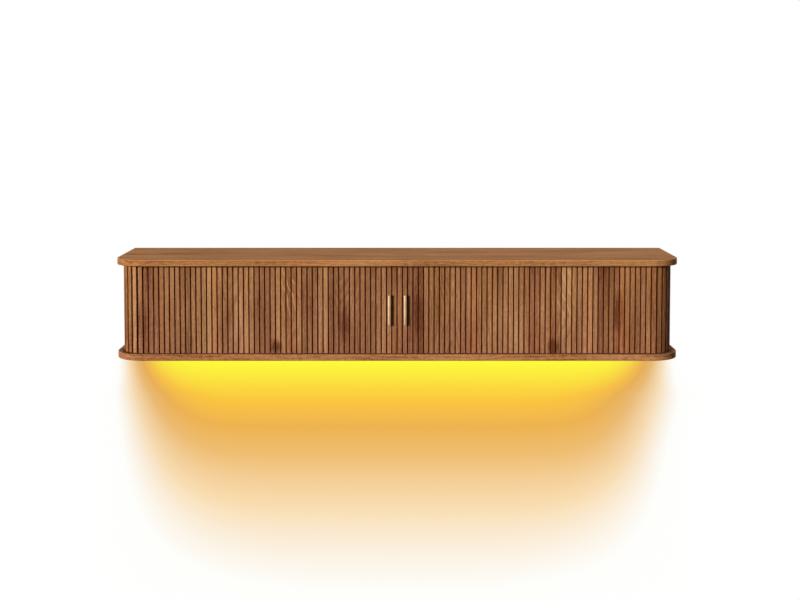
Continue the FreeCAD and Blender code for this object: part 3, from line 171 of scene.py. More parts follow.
def prism(name, outline, low, high):
    """Upright prism over a plan outline."""
    count = len(outline)
    verts = [(x, y, z) for z in (low, high) for x, y in outline]
    faces = [list(range(count))[::-1], list(range(count, 2 * count))]
    faces += [[i, (i + 1) % count, count + (i + 1) % count, count + i] for i in range(count)]
    return mesh_object(name, verts, faces)


def cuboid(name, low, high):
    """Box between two corners."""
    outline = [(low[0], low[1]), (high[0], low[1]), (high[0], high[1]), (low[0], high[1])]
    return prism(name, outline, low[2], high[2])


def arc(centre, radius, start, finish):
    """Points along an arc, both ends included, angles in degrees."""
    angles = [math.radians(start + (finish - start) * i / ARC_STEPS) for i in range(ARC_STEPS + 1)]
    return [(centre[0] + radius * math.cos(a), centre[1] + radius * math.sin(a)) for a in angles]


def rounded(corners, steps):
    """Outline through corners (x, y, radius) with each corner rounded."""
    points = []
    for index, (x, y, radius) in enumerate(corners):
        here = Vector((x, y))
        before = (Vector(corners[index - 1][:2]) - here).normalized()
        after = (Vector(corners[(index + 1) % len(corners)][:2]) - here).normalized()
        half = before.angle(after) / 2
        reach = radius / math.tan(half)
        centre = here + (before + after).normalized() * radius / math.sin(half)
        start, finish = here + before * reach - centre, here + after * reach - centre
        turn = start.angle_signed(finish)
        for step in range(steps + 1):
            offset = Matrix.Rotation(-turn * step / steps, 2) @ start
            points.append(tuple(centre + offset))
    return points


def lathe(name, profile, segments, place):
    """Turns a closed (radius, height) profile about its axis; place puts a point in the frame."""
    verts, faces, rings = [], [], []
    for radius, height in profile:
        if radius == 0:
            verts.append(place(Vector((0, 0, height))))
            rings.append([len(verts) - 1])
            continue
        first = len(verts)
        for step in range(segments):
            angle = 2 * math.pi * step / segments
            verts.append(place(Vector((radius * math.cos(angle), radius * math.sin(angle), height))))
        rings.append(list(range(first, first + segments)))
    for low, high in zip(rings, rings[1:]):
        for step in range(segments):
            following = (step + 1) % segments
            if len(low) == 1:
                faces.append([low[0], high[step], high[following]])
            elif len(high) == 1:
                faces.append([low[step], high[0], low[following]])
            else:
                faces.append([low[step], low[following], high[following], high[step]])
    return mesh_object(name, verts, faces)


# ---------------------------------------------------------------- materials


def linear(red, green, blue):
    """A colour given in 0 to 255 as seen, for a shader."""
    def channel(value):
        share = value / 255
        return share / 12.92 if share <= 0.04045 else ((share + 0.055) / 1.055) ** 2.4
    return (channel(red), channel(green), channel(blue), 1)


class Graph:
    """A node tree and short calls that add nodes to it."""

    def __init__(self, tree):
        self.tree = tree

    def node(self, kind, inputs=(), **settings):
        """Adds a node with its settings; inputs are sockets to link or constants."""
        node = self.tree.nodes.new("ShaderNode" + kind)
        for name, value in settings.items():
            setattr(node, name, value)
        for key, value in dict(inputs).items():
            self.feed(node.inputs[key], value)
        return node

    def feed(self, socket, value):
        """Links a socket, or sets it to a constant."""
        if isinstance(value, bpy.types.NodeSocket):
            self.tree.links.new(value, socket)
        else:
            socket.default_value = value

    def math(self, operation, first, second=0.0, clamp=False):
        node = self.node("Math", {0: first, 1: second}, operation=operation, use_clamp=clamp)
        return node.outputs[0]

    def product(self, first, *others):
        for other in others:
            first = self.math("MULTIPLY", first, other)
        return first

    def total(self, first, *others):
        for other in others:
            first = self.math("ADD", first, other)
        return first

    def swing(self, value, amount):
        """A value about 0.5 turned into a shift about 0."""
        return self.math("MULTIPLY", self.math("SUBTRACT", value, 0.5), amount)

    def remap(self, value, low, high, to_low=0.0, to_high=1.0, smooth=False):
        """Takes low to high onto to_low to to_high, and stops at both ends."""
        kind = "SMOOTHSTEP" if smooth else "LINEAR"
        node = self.node(
            "MapRange", {0: value, 1: low, 2: high, 3: to_low, 4: to_high},
            interpolation_type=kind, clamp=True,
        )
        return node.outputs[0]

    def stretched(self, vector, scale):
        """A vector multiplied by a scale per axis."""
        node = self.node("VectorMath", {0: vector, 1: scale}, operation="MULTIPLY")
        return node.outputs[0]

    def noise(self, vector, scale, detail=2.0, roughness=0.5):
        """Noise about 0.5; scale is its cells per metre along each axis."""
        where = self.stretched(vector, scale)
        inputs = {"Vector": where, "Scale": 1, "Detail": detail, "Roughness": roughness}
        return self.node("TexNoise", inputs).outputs["Fac"]

    def ramp(self, value, stops):
        """Colour by value through stops of (place, colour)."""
        node = self.node("ValToRGB", {0: value})
        elements = node.color_ramp.elements
        while len(elements) < len(stops):
            elements.new(0.5)
        for element, (place, colour) in zip(elements, stops):
            element.position = place
            element.color = colour
        return node.outputs["Color"]

    def mottle(self, noise, low, high):
        """Colour from low to high over the middle of a noise."""
        return self.ramp(noise, [(0.3, low), (0.7, high)])

    def about(self, noise, middle, spread):
        """A number about middle that follows a noise."""
        return self.remap(noise, 0.2, 0.8, middle - spread, middle + spread)

    def mix(self, share, first, second, blend="MIX"):
        """Colour blended from first to second by share."""
        node = self.node("Mix", data_type="RGBA", blend_type=blend)
        self.feed(node.inputs["Factor"], share)
        self.feed(node.inputs["A"], first)
        self.feed(node.inputs["B"], second)
        return node.outputs["Result"]

    def place(self, source="Object"):
        """Coordinates in metres: the object's own, or the rest ones kept in an attribute."""
        if source == "Object":
            return self.node("TexCoord").outputs["Object"]
        return self.node("Attribute", attribute_name=source).outputs["Vector"]

    def value(self, name):
        """A number that the mesh keeps by name."""
        return self.node("Attribute", attribute_name=name).outputs["Fac"]

    def split(self, vector):
        return self.node("SeparateXYZ", {0: vector}).outputs

    def join(self, x, y, z):
        return self.node("CombineXYZ", {0: x, 1: y, 2: z}).outputs[0]

    def behind(self):
        """1 on the back of a face, 0 on its front."""
        return self.node("NewGeometry").outputs["Backfacing"]

    def clear(self):
        return self.node("BsdfTransparent").outputs[0]

    def seen(self):
        """1 for camera, mirror and see-through rays, 0 for the rays that light the object."""
        rays = self.node("LightPath").outputs
        mirrored = self.math("MAXIMUM", rays["Is Glossy Ray"], rays["Is Transmission Ray"])
        return self.math("MAXIMUM", rays["Is Camera Ray"], mirrored)


class Shader(Graph):
    """A material with its Principled shader."""

    def __init__(self, name):
        self.material = bpy.data.materials.new(name)
        self.material.use_nodes = True
        super().__init__(self.material.node_tree)
        self.bsdf = self.tree.nodes["Principled BSDF"]
        self.output = self.tree.nodes["Material Output"]

    def set(self, **values):
        """Sets or links the shader's own sockets, written Base_Color for Base Color."""
        for name, value in values.items():
            self.feed(self.bsdf.inputs[name.replace("_", " ")], value)

    def bump(self, height, distance, strength):
        """Relief of a depth in metres."""
        node = self.node("Bump", {"Height": height, "Distance": distance, "Strength": strength})
        self.set(Normal=node.outputs[0])

    def surface(self, share, first, second):
        """Shows the second surface by share, and the first for the rest."""
        mixed = self.node("MixShader", {0: share, 1: first, 2: second}).outputs[0]
        self.tree.links.new(mixed, self.output.inputs["Surface"])


# A palette is dark, middle and light wood, then the tints that multiply its warmer and cooler parts.
BOARD_COLOURS = (
    linear(118, 72, 47), linear(166, 113, 79), linear(194, 141, 103),
    linear(255, 232, 205), linear(236, 236, 244),
)
SLAT_COLOURS = (
    linear(104, 61, 40), linear(164, 112, 79), linear(208, 155, 112),
    linear(255, 226, 214), linear(250, 250, 228),
)
INTERIOR_COLOURS = (
    linear(92, 58, 38), linear(138, 93, 62), linear(168, 120, 84),
    linear(255, 232, 210), linear(236, 236, 244),
)
BEECH_COLOURS = (
    linear(178, 140, 98), linear(205, 170, 126), linear(224, 194, 152),
    linear(255, 240, 225), linear(244, 244, 250),
)
BAND_COLOURS = (linear(120, 72, 48), linear(180, 122, 84), linear(208, 150, 106))
GOLD = linear(255, 255, 214)
# Lighter colour for wear and painted highlight on a board's upper arris.
WEAR_AND_HIGHLIGHT = linear(238, 186, 138)
# Painted shade for a board's corners and its lower arris.
CREASE_SHADE = linear(104, 66, 44)
# Painted shade on the sides of slats, down into the grooves.
FLANK_SHADE = linear(96, 40, 6)
PORE = linear(60, 34, 20)

# Which axes of the frame run across, into and along the grain.
GRAIN_ORDER = {"X": (1, 2, 0), "Z": (0, 1, 2)}

# Noises of the wood: cells per metre across, into and along the grain, then detail and roughness.
CLOUD = ((16, 16, 3.6), 3, 0.55)
STREAK = ((210, 210, 5), 4, 0.6)
FIBRE = ((1300, 1300, 22), 3, 0.6)
PORES = ((1900, 1900, 75), 1, 0.4)
FLECK = ((150, 150, 60), 3, 0.65)
DRIFT = ((7, 7, 1.3), 3)
RED_PATCH = ((23, 23, 2.4),)
RING_WAVE = ((9, 9, 1.2),)
RING_RIPPLE = ((110, 110, 5),)
FLAME_WAVE = ((14, 11, 1),)

# What they do: weights in the tone, ranges of a noise or a place, and shares of a colour.
CLOUD_WEIGHT = 0.7
STREAK_WEIGHT = 0.62
FIBRE_WEIGHT = 0.34
FLAME_WEIGHT = 0.42
SMUDGE_WEIGHT = 0.38
TONE_PLACES = (0.12, 0.5, 0.88)
WARM_RANGE = (0.5, 0.8)
COOL_RANGE = (0.48, 0.2)
TINT_SHARE = 0.8
RED_SPREAD = 0.6
RED_FOOT = 0.07
RED_FOOT_TOP_Z = -100 * MM
RED_SMUDGE = 0.05
GOLD_BOTTOM = 0.12
GOLD_TOP = 0.5
GOLD_TOP_BANDED = 0.8
HEART_RANGE = (0.008, 0.07)
HEART_FRAY = 0.07
# Painted shade on slat sides: the depths behind the face over which it comes in, and its share.
FLANK_RANGE = (0.08 * MM, 1.2 * MM)
FLANK_SHARE = 0.94
PORE_RANGE = (0.63, 0.72)
PORE_SHARE = 0.5
# Wear and painted highlight on a board's upper arris: the cloud noise range it follows, and its least and
# most share.
WEAR_AND_HIGHLIGHT_RANGE = (0.3, 0.6)
WEAR_AND_HIGHLIGHT_SHARES = (0.25, 0.6)
# Share of painted shade on a board's lower arris, which faces down.
LOWER_ARRIS_SHADE = 0.9
# Painted shade in a board's corners: how far the occlusion looks, where the shade starts and ends, and its
# share in the middle of the front.
CREASE_REACH = 22 * MM
CREASE_RANGE = (0.55, 0.97)
CREASE_MIDDLE = 0.35
WOOD_ROUGHNESS = 0.54
FIBRE_ROUGHNESS = 0.12
PORE_ROUGHNESS = 0.15
FIBRE_RELIEF = 0.35
WOOD_RELIEF = 0.12 * MM

# Growth rings, and the band of veneer round a board's edge, which is cut from another part of the log.
LEAF_WIDTH = 175 * MM
RING_WIDTH = 6.5 * MM
LOG_DEPTHS = (20 * MM, 60 * MM)
LOG_RANGE = (0.25, 0.75)
RING_BEND = 2.2
RIPPLE_SHARE = 0.25
RING_SHARPNESS = 2.5
RING_EDGE = 0.86
RING_MIDDLE = 0.7
LONG_ARCH = 0.9
UPRIGHT_ARCH = 3.2
GRAIN_DRIFT = 90 * MM
KNOT_SWIRL = 35 * MM
SWIRL_END = 0.3
BAND_ACROSS = 370 * MM
BAND_DEPTH = 20 * MM

# Places on the front, measured along the tambour from the middle and up, and how far each kind reaches.
KNOT_REACH = (0.31, 0.44, 1)
KNOTS = ((-0.386, -0.2, 0), (0.495, -0.2, 0), (-1.06, -0.05, 0), (1.02, -0.1, 0))
FLAME_REACH = (0.034, 0.115, 1)
FLAMES = ((-0.345, -0.02, 0), (0.535, -0.02, 0))
FLAME_LEAN = 0.33
FLAME_START = 0.3195
FLAME_WOBBLE = 50 * MM
FLAME_PITCH = 11 * MM
FLAME_LINE = (0.8 * MM, 3.4 * MM)
FLAME_RANGE = (0.3, 1.0)
SMUDGE_REACH = (0.028, 0.09, 1)
SMUDGE_RANGE = (0.2, 1.0)
SMUDGES = ((-0.811, -0.12, 0), (-0.168, -0.12, 0), (0.069, -0.1, 0), (0.703, -0.09, 0))


def walnut(name, grain, palette, source="Object", by_slat=False, banded=False, contrast=1.0, gloss=0.03,
           knots=0.08, arch=LONG_ARCH, figure=0.3, flecks=0.2):
    """Satin lacquered wood whose grain runs along one axis of the frame.

    by_slat adds each slat's own tone and the front's figure; banded runs the grain round a board's edge.
    contrast, knots, figure and flecks are strengths, and arch says how soon the rings' arches close.
    """
    s = Shader(name)
    axes = s.split(s.place(source))
    height = axes[2]
    across, depth, along = (axes[i] for i in GRAIN_ORDER[grain])
    wood = s.join(across, depth, along)
    if banded:
        edge = edge_share(s)
        wood = mixed_vector(s, edge, wood, edge_band(s, axes))
        across, depth, along = s.split(wood)
    plane = s.join(across, along, 0.0)
    knot = nearest(s, plane, KNOTS, KNOT_REACH) if by_slat else nearest_cell(s, plane, KNOT_REACH)
    cloud, streak, fibre = (s.noise(wood, *pattern) for pattern in (CLOUD, STREAK, FIBRE))
    drift = s.swing(s.noise(wood, *DRIFT), GRAIN_DRIFT)
    swirl = s.remap(knot, 0.0, SWIRL_END, KNOT_SWIRL, 0.0, smooth=True)
    ring = growth_rings(s, wood, s.total(across, drift, swirl), depth, arch)

    tone = 0.5
    weights = ((ring, figure), (cloud, CLOUD_WEIGHT), (streak, STREAK_WEIGHT), (fibre, FIBRE_WEIGHT))
    for part, weight in weights:
        tone = s.total(tone, s.swing(part, weight * contrast))
    fleck = s.swing(s.noise(wood, *FLECK), flecks)
    tone = s.total(tone, s.product(fleck, edge) if banded else fleck)
    redness = s.noise(wood, *RED_PATCH)
    if by_slat:
        tone = s.total(tone, s.value("tone"), s.product(flame_share(s, plane), FLAME_WEIGHT))
        foot = s.remap(height, BOTTOM_Z, RED_FOOT_TOP_Z, RED_FOOT, 0.0)
        spot = nearest(s, plane, SMUDGES, SMUDGE_REACH)
        smudge = s.remap(spot, *SMUDGE_RANGE, 1.0, 0.0, smooth=True)
        tone = s.math("SUBTRACT", tone, s.product(cloud, SMUDGE_WEIGHT, smudge))
        redness = s.total(s.product(redness, RED_SPREAD), s.value("hue"), foot)
        redness = s.total(redness, s.product(smudge, RED_SMUDGE))
    heart = s.remap(s.total(knot, s.swing(streak, HEART_FRAY)), *HEART_RANGE, 1.0, 0.0)
    tone = s.math("SUBTRACT", tone, s.product(heart, knots))

    warm, cool = palette[3:]
    colour = s.ramp(tone, list(zip(TONE_PLACES, palette)))
    if banded:
        colour = s.mix(edge, colour, s.ramp(tone, list(zip(TONE_PLACES, BAND_COLOURS))))
    colour = s.mix(s.remap(redness, *WARM_RANGE, 0.0, TINT_SHARE), colour, warm, "MULTIPLY")
    colour = s.mix(s.remap(redness, *COOL_RANGE, 0.0, TINT_SHARE), colour, cool, "MULTIPLY")
    golden = s.remap(height, BOTTOM_Z, TOP_Z, GOLD_BOTTOM, GOLD_TOP_BANDED if banded else GOLD_TOP)
    if by_slat:
        golden = s.math("ADD", golden, s.value("gold"), clamp=True)
    colour = s.mix(golden, colour, GOLD, "MULTIPLY")
    if by_slat:
        # Painted shade: a slat's sides darken behind their face, down into the grooves.
        shaded_flank = s.remap(depth, *FLANK_RANGE, smooth=True)
        colour = s.mix(s.product(shaded_flank, FLANK_SHARE), colour, FLANK_SHADE)
    holes = s.remap(s.noise(wood, *PORES), *PORE_RANGE)
    colour = s.mix(s.product(holes, PORE_SHARE), colour, PORE)
    if banded:
        # Wear and painted highlight: the upper arris, which faces up, is lightened in patches.
        wear_and_highlight = s.product(arris_share(s, 1), s.remap(cloud, *WEAR_AND_HIGHLIGHT_RANGE, *WEAR_AND_HIGHLIGHT_SHARES))
        colour = s.mix(wear_and_highlight, colour, WEAR_AND_HIGHLIGHT)
        # Painted shade: corners that ambient occlusion finds shut in are darkened.
        colour = s.mix(crease_shade_share(s, axes[0]), colour, CREASE_SHADE, "MULTIPLY")
        # Painted shade: the lower arris, which faces down, is darkened.
        colour = s.mix(s.product(arris_share(s, -1), LOWER_ARRIS_SHADE), colour, CREASE_SHADE, "MULTIPLY")
    roughness = s.total(WOOD_ROUGHNESS, s.product(fibre, FIBRE_ROUGHNESS), s.product(holes, PORE_ROUGHNESS))
    s.set(Base_Color=colour, Roughness=roughness, Specular_IOR_Level=gloss)
    s.bump(s.math("SUBTRACT", s.product(fibre, FIBRE_RELIEF), holes), WOOD_RELIEF, 0.6)
    return s.material


def growth_rings(s, wood, sideways, depth, arch):
    """Growth rings of a flat-sawn leaf, dark outside: arches in its middle and lines at its sides."""
    out = s.math("SUBTRACT", LEAF_WIDTH, s.math("PINGPONG", sideways, LEAF_WIDTH))
    deep = s.total(depth, s.remap(s.noise(wood, (1.2, 1.2, arch), 1), *LOG_RANGE, *LOG_DEPTHS))
    radius = s.math("SQRT", s.total(s.product(out, out), s.product(deep, deep)))
    wobble = s.total(s.noise(wood, *RING_WAVE), s.product(s.noise(wood, *RING_RIPPLE), RIPPLE_SHARE))
    turn = s.math("FRACT", s.total(s.math("DIVIDE", radius, RING_WIDTH), s.product(wobble, RING_BEND)))
    late = s.math("POWER", turn, RING_SHARPNESS)
    dark = s.product(late, s.remap(turn, RING_EDGE, 1.0, 1.0, 0.0, smooth=True))
    return s.math("SUBTRACT", RING_MIDDLE, dark)


def inverse(reach):
    return tuple(1 / r for r in reach)


def nearest(s, plane, spots, reach):
    """Distance to the nearest of a few spots on the wood, in shares of their reach."""
    least = None
    for spot in spots:
        offset = s.node("VectorMath", {0: plane, 1: spot}, operation="SUBTRACT").outputs[0]
        shares = s.stretched(offset, inverse(reach))
        away = s.node("VectorMath", {0: shares}, operation="LENGTH").outputs["Value"]
        least = s.math("MINIMUM", least, away) if least else away
    return least


def nearest_cell(s, plane, reach):
    """Distance to the nearest of many scattered spots, one in each cell of that reach."""
    inputs = {"Vector": s.stretched(plane, inverse(reach)), "Scale": 1}
    return s.node("TexVoronoi", inputs, voronoi_dimensions="2D").outputs["Distance"]


def flame_share(s, plane):
    """Thin light streaks that slant down to the right beside each heart."""
    across, along, _ = s.split(plane)
    wobble = s.product(s.noise(plane, *FLAME_WAVE), FLAME_WOBBLE)
    lean = s.total(across, s.product(along, FLAME_LEAN), FLAME_START, wobble)
    line = s.remap(s.math("PINGPONG", lean, FLAME_PITCH), *FLAME_LINE, 1.0, 0.0, smooth=True)
    return s.product(line, s.remap(nearest(s, plane, FLAMES, FLAME_REACH), *FLAME_RANGE, 1.0, 0.0))


def mixed_vector(s, share, first, second):
    """A vector blended from first to second by share."""
    node = s.node("Mix", {"Factor": share, 4: first, 5: second}, data_type="VECTOR")
    return node.outputs[1]


def lean_of(s):
    """How far a face looks up: 1 on top, 0 upright, -1 below."""
    return s.split(s.node("NewGeometry").outputs["True Normal"])[2]


def edge_share(s):
    """1 on a board's upright edges, 0 on its two faces."""
    return s.remap(s.math("ABSOLUTE", lean_of(s)), 0.8, 0.6)


def arris_share(s, up):
    """1 on a board's upper arris, or with -1 its lower one, 0 on its faces and upright edges."""
    lean = s.product(lean_of(s), up)
    return s.product(s.remap(lean, 0.1, 0.3), s.remap(lean, 0.98, 0.9))


def crease_shade_share(s, x):
    """Painted shade in the corner between a ledge and what stands on it, from ambient occlusion, most at
    the ends of the board.
    """
    open_sky = s.node("AmbientOcclusion", {"Distance": CREASE_REACH}, samples=8).outputs["AO"]
    reach = s.remap(s.math("ABSOLUTE", x), FRONT_X, FACE_X, CREASE_MIDDLE, 1.0)
    return s.product(s.remap(open_sky, *CREASE_RANGE, 1.0, 0.0), reach)


def edge_band(s, axes):
    """Coordinates of the veneer band: its grain runs round the board's edge."""
    x, y, z = axes
    out = s.math("ABSOLUTE", x)
    past = s.math("MAXIMUM", s.math("SUBTRACT", out, FRONT_X), 0.0)
    before = s.math("MAXIMUM", s.math("SUBTRACT", FRONT_Y, y), 0.0)
    side = s.math("MAXIMUM", s.math("SUBTRACT", y, FRONT_Y), 0.0)
    round_it = s.product(s.math("ARCTAN2", past, before), CORNER_RADIUS)
    run = s.total(s.math("MINIMUM", out, FRONT_X), round_it, side)
    return s.join(s.total(z, BAND_ACROSS), BAND_DEPTH, s.product(run, s.math("SIGN", x)))


WEAVE_PITCH = 0.9 * MM
# Heights over which the brass's painted highlight grows towards the top.
HIGHLIGHT_LOW_Z = -130 * MM
HIGHLIGHT_HIGH_Z = -30 * MM


def cloth(name):
    """Dark plain-woven canvas, by rest coordinates along and up the tambour."""
    s = Shader(name)
    along, _, up = s.split(s.place("grain"))
    turn = 2 * math.pi / WEAVE_PITCH
    weave = s.product(s.math("SINE", s.product(along, turn)), s.math("SINE", s.product(up, turn)))
    fuzz = s.noise(s.join(along, 0.0, up), (500, 500, 500), 3)
    tone = s.total(s.product(s.total(weave, 1), 0.3), s.product(fuzz, 0.4))
    s.set(
        Base_Color=s.ramp(tone, [(0.1, linear(38, 24, 16)), (0.9, linear(86, 62, 44))]),
        Roughness=0.95, Specular_IOR_Level=0.15, Sheen_Weight=0.2, Sheen_Roughness=0.5,
    )
    s.bump(s.total(weave, s.product(fuzz, 0.6)), 0.2 * MM, 0.8)
    return s.material


def brass():
    """Satin brass, brushed along the bar, with a painted highlight that makes it brighter towards its upper
    end.
    """
    s = Shader("satin_brass")
    place = s.place()
    brush = s.noise(place, (2600, 2600, 45), 3, 0.6)
    patch = s.noise(place, (40, 40, 40), 3)
    # Painted highlight: the bar is lighter towards its upper end.
    top_highlight = s.remap(s.split(place)[2], HIGHLIGHT_LOW_Z, HIGHLIGHT_HIGH_Z, -0.1, 0.16)
    tone = s.total(s.product(brush, 0.5), s.product(patch, 0.5), top_highlight)
    s.set(
        Base_Color=s.ramp(tone, [(0.25, linear(146, 117, 76)), (0.75, linear(192, 164, 122))]),
        Roughness=s.about(brush, 0.49, 0.05), Metallic=1.0,
    )
    s.bump(brush, 0.03 * MM, 0.5)
    return s.material


def metal(name, low, high, scale, roughness):
    """Bare or plated metal with a drawn or mottled surface."""
    s = Shader(name)
    lines = s.noise(s.place(), scale, 4, 0.6)
    s.set(Base_Color=s.mottle(lines, low, high), Roughness=s.about(lines, roughness, 0.08), Metallic=1.0)
    s.bump(lines, 0.04 * MM, 0.5)
    return s.material


def moulded(name, low, high, roughness, grain=900):
    """Moulded plastic or rubber with a fine grain."""
    s = Shader(name)
    speck = s.noise(s.place(), (grain, grain, grain))
    s.set(Base_Color=s.mottle(speck, low, high), Roughness=s.about(speck, roughness, 0.06))
    s.set(Specular_IOR_Level=0.4)
    s.bump(speck, 0.05 * MM, 0.5)
    return s.material


def lit(name, low, high, strength):
    """Frosted or phosphor surface that glows warm yellow."""
    s = Shader(name)
    colour = s.mottle(s.noise(s.place(), (300, 300, 300)), low, high)
    s.set(Base_Color=colour, Emission_Color=colour, Emission_Strength=strength, Roughness=0.45)
    return s.material


BOARD_WOOD = walnut("walnut_boards_lacquered", "X", BOARD_COLOURS, banded=True, gloss=0.008, flecks=1.0)
SLAT_WOOD = walnut(
    "walnut_slats_lacquered", "Z", SLAT_COLOURS, source="grain", by_slat=True,
    knots=0.62, arch=UPRIGHT_ARCH, figure=0.24, flecks=0.55,
)
INTERIOR_LONG = walnut("walnut_interior_long", "X", INTERIOR_COLOURS, contrast=0.8)
INTERIOR_UPRIGHT = walnut("walnut_interior_upright", "Z", INTERIOR_COLOURS, contrast=0.8, arch=UPRIGHT_ARCH)
POST_WOOD = walnut("walnut_posts", "Z", BOARD_COLOURS, contrast=0.9, arch=UPRIGHT_ARCH)
CLOTH = cloth("woven_canvas")
BRASS = brass()
STEEL = metal("zinc_plated_steel", linear(150, 152, 156), linear(196, 197, 200), (260, 260, 260), 0.34)
ALUMINIUM = metal(
    "anodised_aluminium", linear(138, 140, 143), linear(172, 174, 176), (12, 1500, 1500), 0.42,
)
BLACK = moulded("black_plastic_grained", linear(22, 22, 24), linear(38, 38, 41), 0.5)
RUBBER = moulded("black_lead_sheath", linear(18, 18, 19), linear(32, 32, 33), 0.65, 1400)
TAPE = moulded("white_circuit_tape", linear(214, 212, 206), linear(236, 235, 230), 0.55, 500)
BEECH = walnut("beech_dowels", "Z", BEECH_COLOURS)
DIFFUSER = lit("frosted_diffuser_lit", linear(255, 214, 92), linear(255, 226, 120), 1.0)
CHIP = lit("phosphor_chip_lit", linear(255, 205, 80), linear(255, 220, 110), 1.4)

NODE_MATERIALS = {
    "walnut_interior": INTERIOR_LONG,
    "back_board": INTERIOR_LONG,
    "canvas": CLOTH,
    "brass": BRASS,
    "steel": STEEL,
    "beech": BEECH,
    "aluminium": ALUMINIUM,
    "black_plastic": BLACK,
    "diffuser": DIFFUSER,
    "white_tape": TAPE,
    "light_chip": CHIP,
    "black_lead": RUBBER,
    "walnut_boards": BOARD_WOOD,
    "walnut_slats": SLAT_WOOD,
}
UPRIGHT = ("left_side_panel", "right_side_panel", "center_divider")
for row in frame["record"]["subparts"]:
    node = NODES[row["node"]]
    for held in node.material_slots:
        held.material = NODE_MATERIALS[row["material_slot"]]
for name in UPRIGHT:
    NODES[name].material_slots[0].material = INTERIOR_UPRIGHT
for side in SIDES:
    NODES[f"{side}_rear_post"].material_slots[0].material = POST_WOOD


def dress(obj, material, body, slot, *nodes):
    """Gives a new piece its material and body, and hides the nodes it stands for; slot is not used."""
    obj.data.materials.clear()
    obj.data.materials.append(material)
    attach(obj, body)
    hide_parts(*nodes)
    return obj


# ---------------------------------------------------------------- tambour


def along_path(length):
    """Point on the middle of the canvas, outward and forward directions, on the right side."""
    front_radius = FACE_RADIUS - MIDDLE
    rear_radius = REAR_RADIUS - MIDDLE
    turn = math.pi / 2 * front_radius
    side_run = REAR_Y - FRONT_Y
    if length < FRONT_X:
        return Vector((length, FACE_Y + MIDDLE)), Vector((0, -1)), Vector((1, 0))
    if length < FRONT_X + turn:
        angle = (length - FRONT_X) / front_radius
        outward = Vector((math.sin(angle), -math.cos(angle)))
        point = Vector((FRONT_X, FRONT_Y)) + outward * front_radius
        return point, outward, Vector((math.cos(angle), math.sin(angle)))
    if length < FRONT_X + turn + side_run:
        y = FRONT_Y + length - FRONT_X - turn
        return Vector((FACE_X - MIDDLE, y)), Vector((1, 0)), Vector((0, 1))
    angle = (length - FRONT_X - turn - side_run) / rear_radius
    outward = Vector((math.cos(angle), math.sin(angle)))
    point = Vector((REAR_X, REAR_Y)) + outward * rear_radius
    return point, outward, Vector((-math.sin(angle), math.cos(angle)))


SLAT_SECTION = rounded(
    [
        (-SLAT_BASE / 2, SLAT_DEPTH, 0.1 * MM),
        (-SLAT_BASE / 2, SLAT_DEPTH - SLAT_FOOT, 0.6 * MM),
        (-SLAT_FACE / 2, 0, 0.9 * MM),
        (SLAT_FACE / 2, 0, 0.9 * MM),
        (SLAT_BASE / 2, SLAT_DEPTH - SLAT_FOOT, 0.6 * MM),
        (SLAT_BASE / 2, SLAT_DEPTH, 0.1 * MM),
    ],
    steps=4,
)
TENON_SECTION = rounded(
    [
        (-TENON_WIDTH / 2, SLAT_DEPTH, 0.3 * MM),
        (-TENON_WIDTH / 2, SLAT_DEPTH - TENON_DEPTH, 0.5 * MM),
        (TENON_WIDTH / 2, SLAT_DEPTH - TENON_DEPTH, 0.5 * MM),
        (TENON_WIDTH / 2, SLAT_DEPTH, 0.3 * MM),
    ],
    steps=2,
)
SHOULDER_LOW = FLOOR_Z + SHOULDER_GAP
SHOULDER_HIGH = CEILING_Z - SHOULDER_GAP
TENON_LOW, TENON_HIGH = SLAT_LOW.z, SLAT_HIGH.z
SOFT_END = 0.4 * MM
TENON_LAP = 1 * MM


def add_bar(section, levels, verts, faces):
    """Adds a closed bar of one section; levels are (height, inset) from one end to the other."""
    first = len(verts)
    count = len(section)
    middle = Vector((sum(p[0] for p in section), sum(p[1] for p in section))) / count
    for height, inset in levels:
        for point in section:
            offset = Vector(point) - middle
            inner = Vector(point) - offset.normalized() * inset
            verts.append((inner.x, inner.y, height))
    for level in range(len(levels) - 1):
        low = first + level * count
        for i in range(count):
            j = (i + 1) % count
            faces.append([low + i, low + j, low + count + j, low + count + i])
    faces.append(list(range(first, first + count))[::-1])
    last = first + (len(levels) - 1) * count
    faces.append(list(range(last, last + count)))


def slat_shape():
    """Local vertices (across, depth behind the face, height) and faces of one slat."""
    verts, faces = [], []
    add_bar(SLAT_SECTION, [
        (SHOULDER_LOW, SOFT_END), (SHOULDER_LOW + SOFT_END, 0),
        (SHOULDER_HIGH - SOFT_END, 0), (SHOULDER_HIGH, SOFT_END),
    ], verts, faces)
    add_bar(TENON_SECTION, [
        (TENON_LOW, SOFT_END), (TENON_LOW + SOFT_END, 0), (SHOULDER_LOW + TENON_LAP, 0),
    ], verts, faces)
    add_bar(TENON_SECTION, [
        (SHOULDER_HIGH - TENON_LAP, 0), (TENON_HIGH - SOFT_END, 0), (TENON_HIGH, SOFT_END),
    ], verts, faces)
    return verts, faces


SLAT_VERTS, SLAT_FACES = slat_shape()


def slat_tones(spread, seed):
    """A value per slat, from the left door's tail to the right one's, half shared with its neighbour."""
    chance = random.Random(seed)
    draws = [chance.gauss(0, spread) for _ in range(2 * DOOR_COUNT + 1)]
    return [(a + b) / 2 for a, b in zip(draws, draws[1:])]


TONES = slat_tones(0.128, 5760)
HUES = slat_tones(0.09, 12686)
GOLDS = slat_tones(0.175, 14771)
HUE_MIDDLE = 0.2


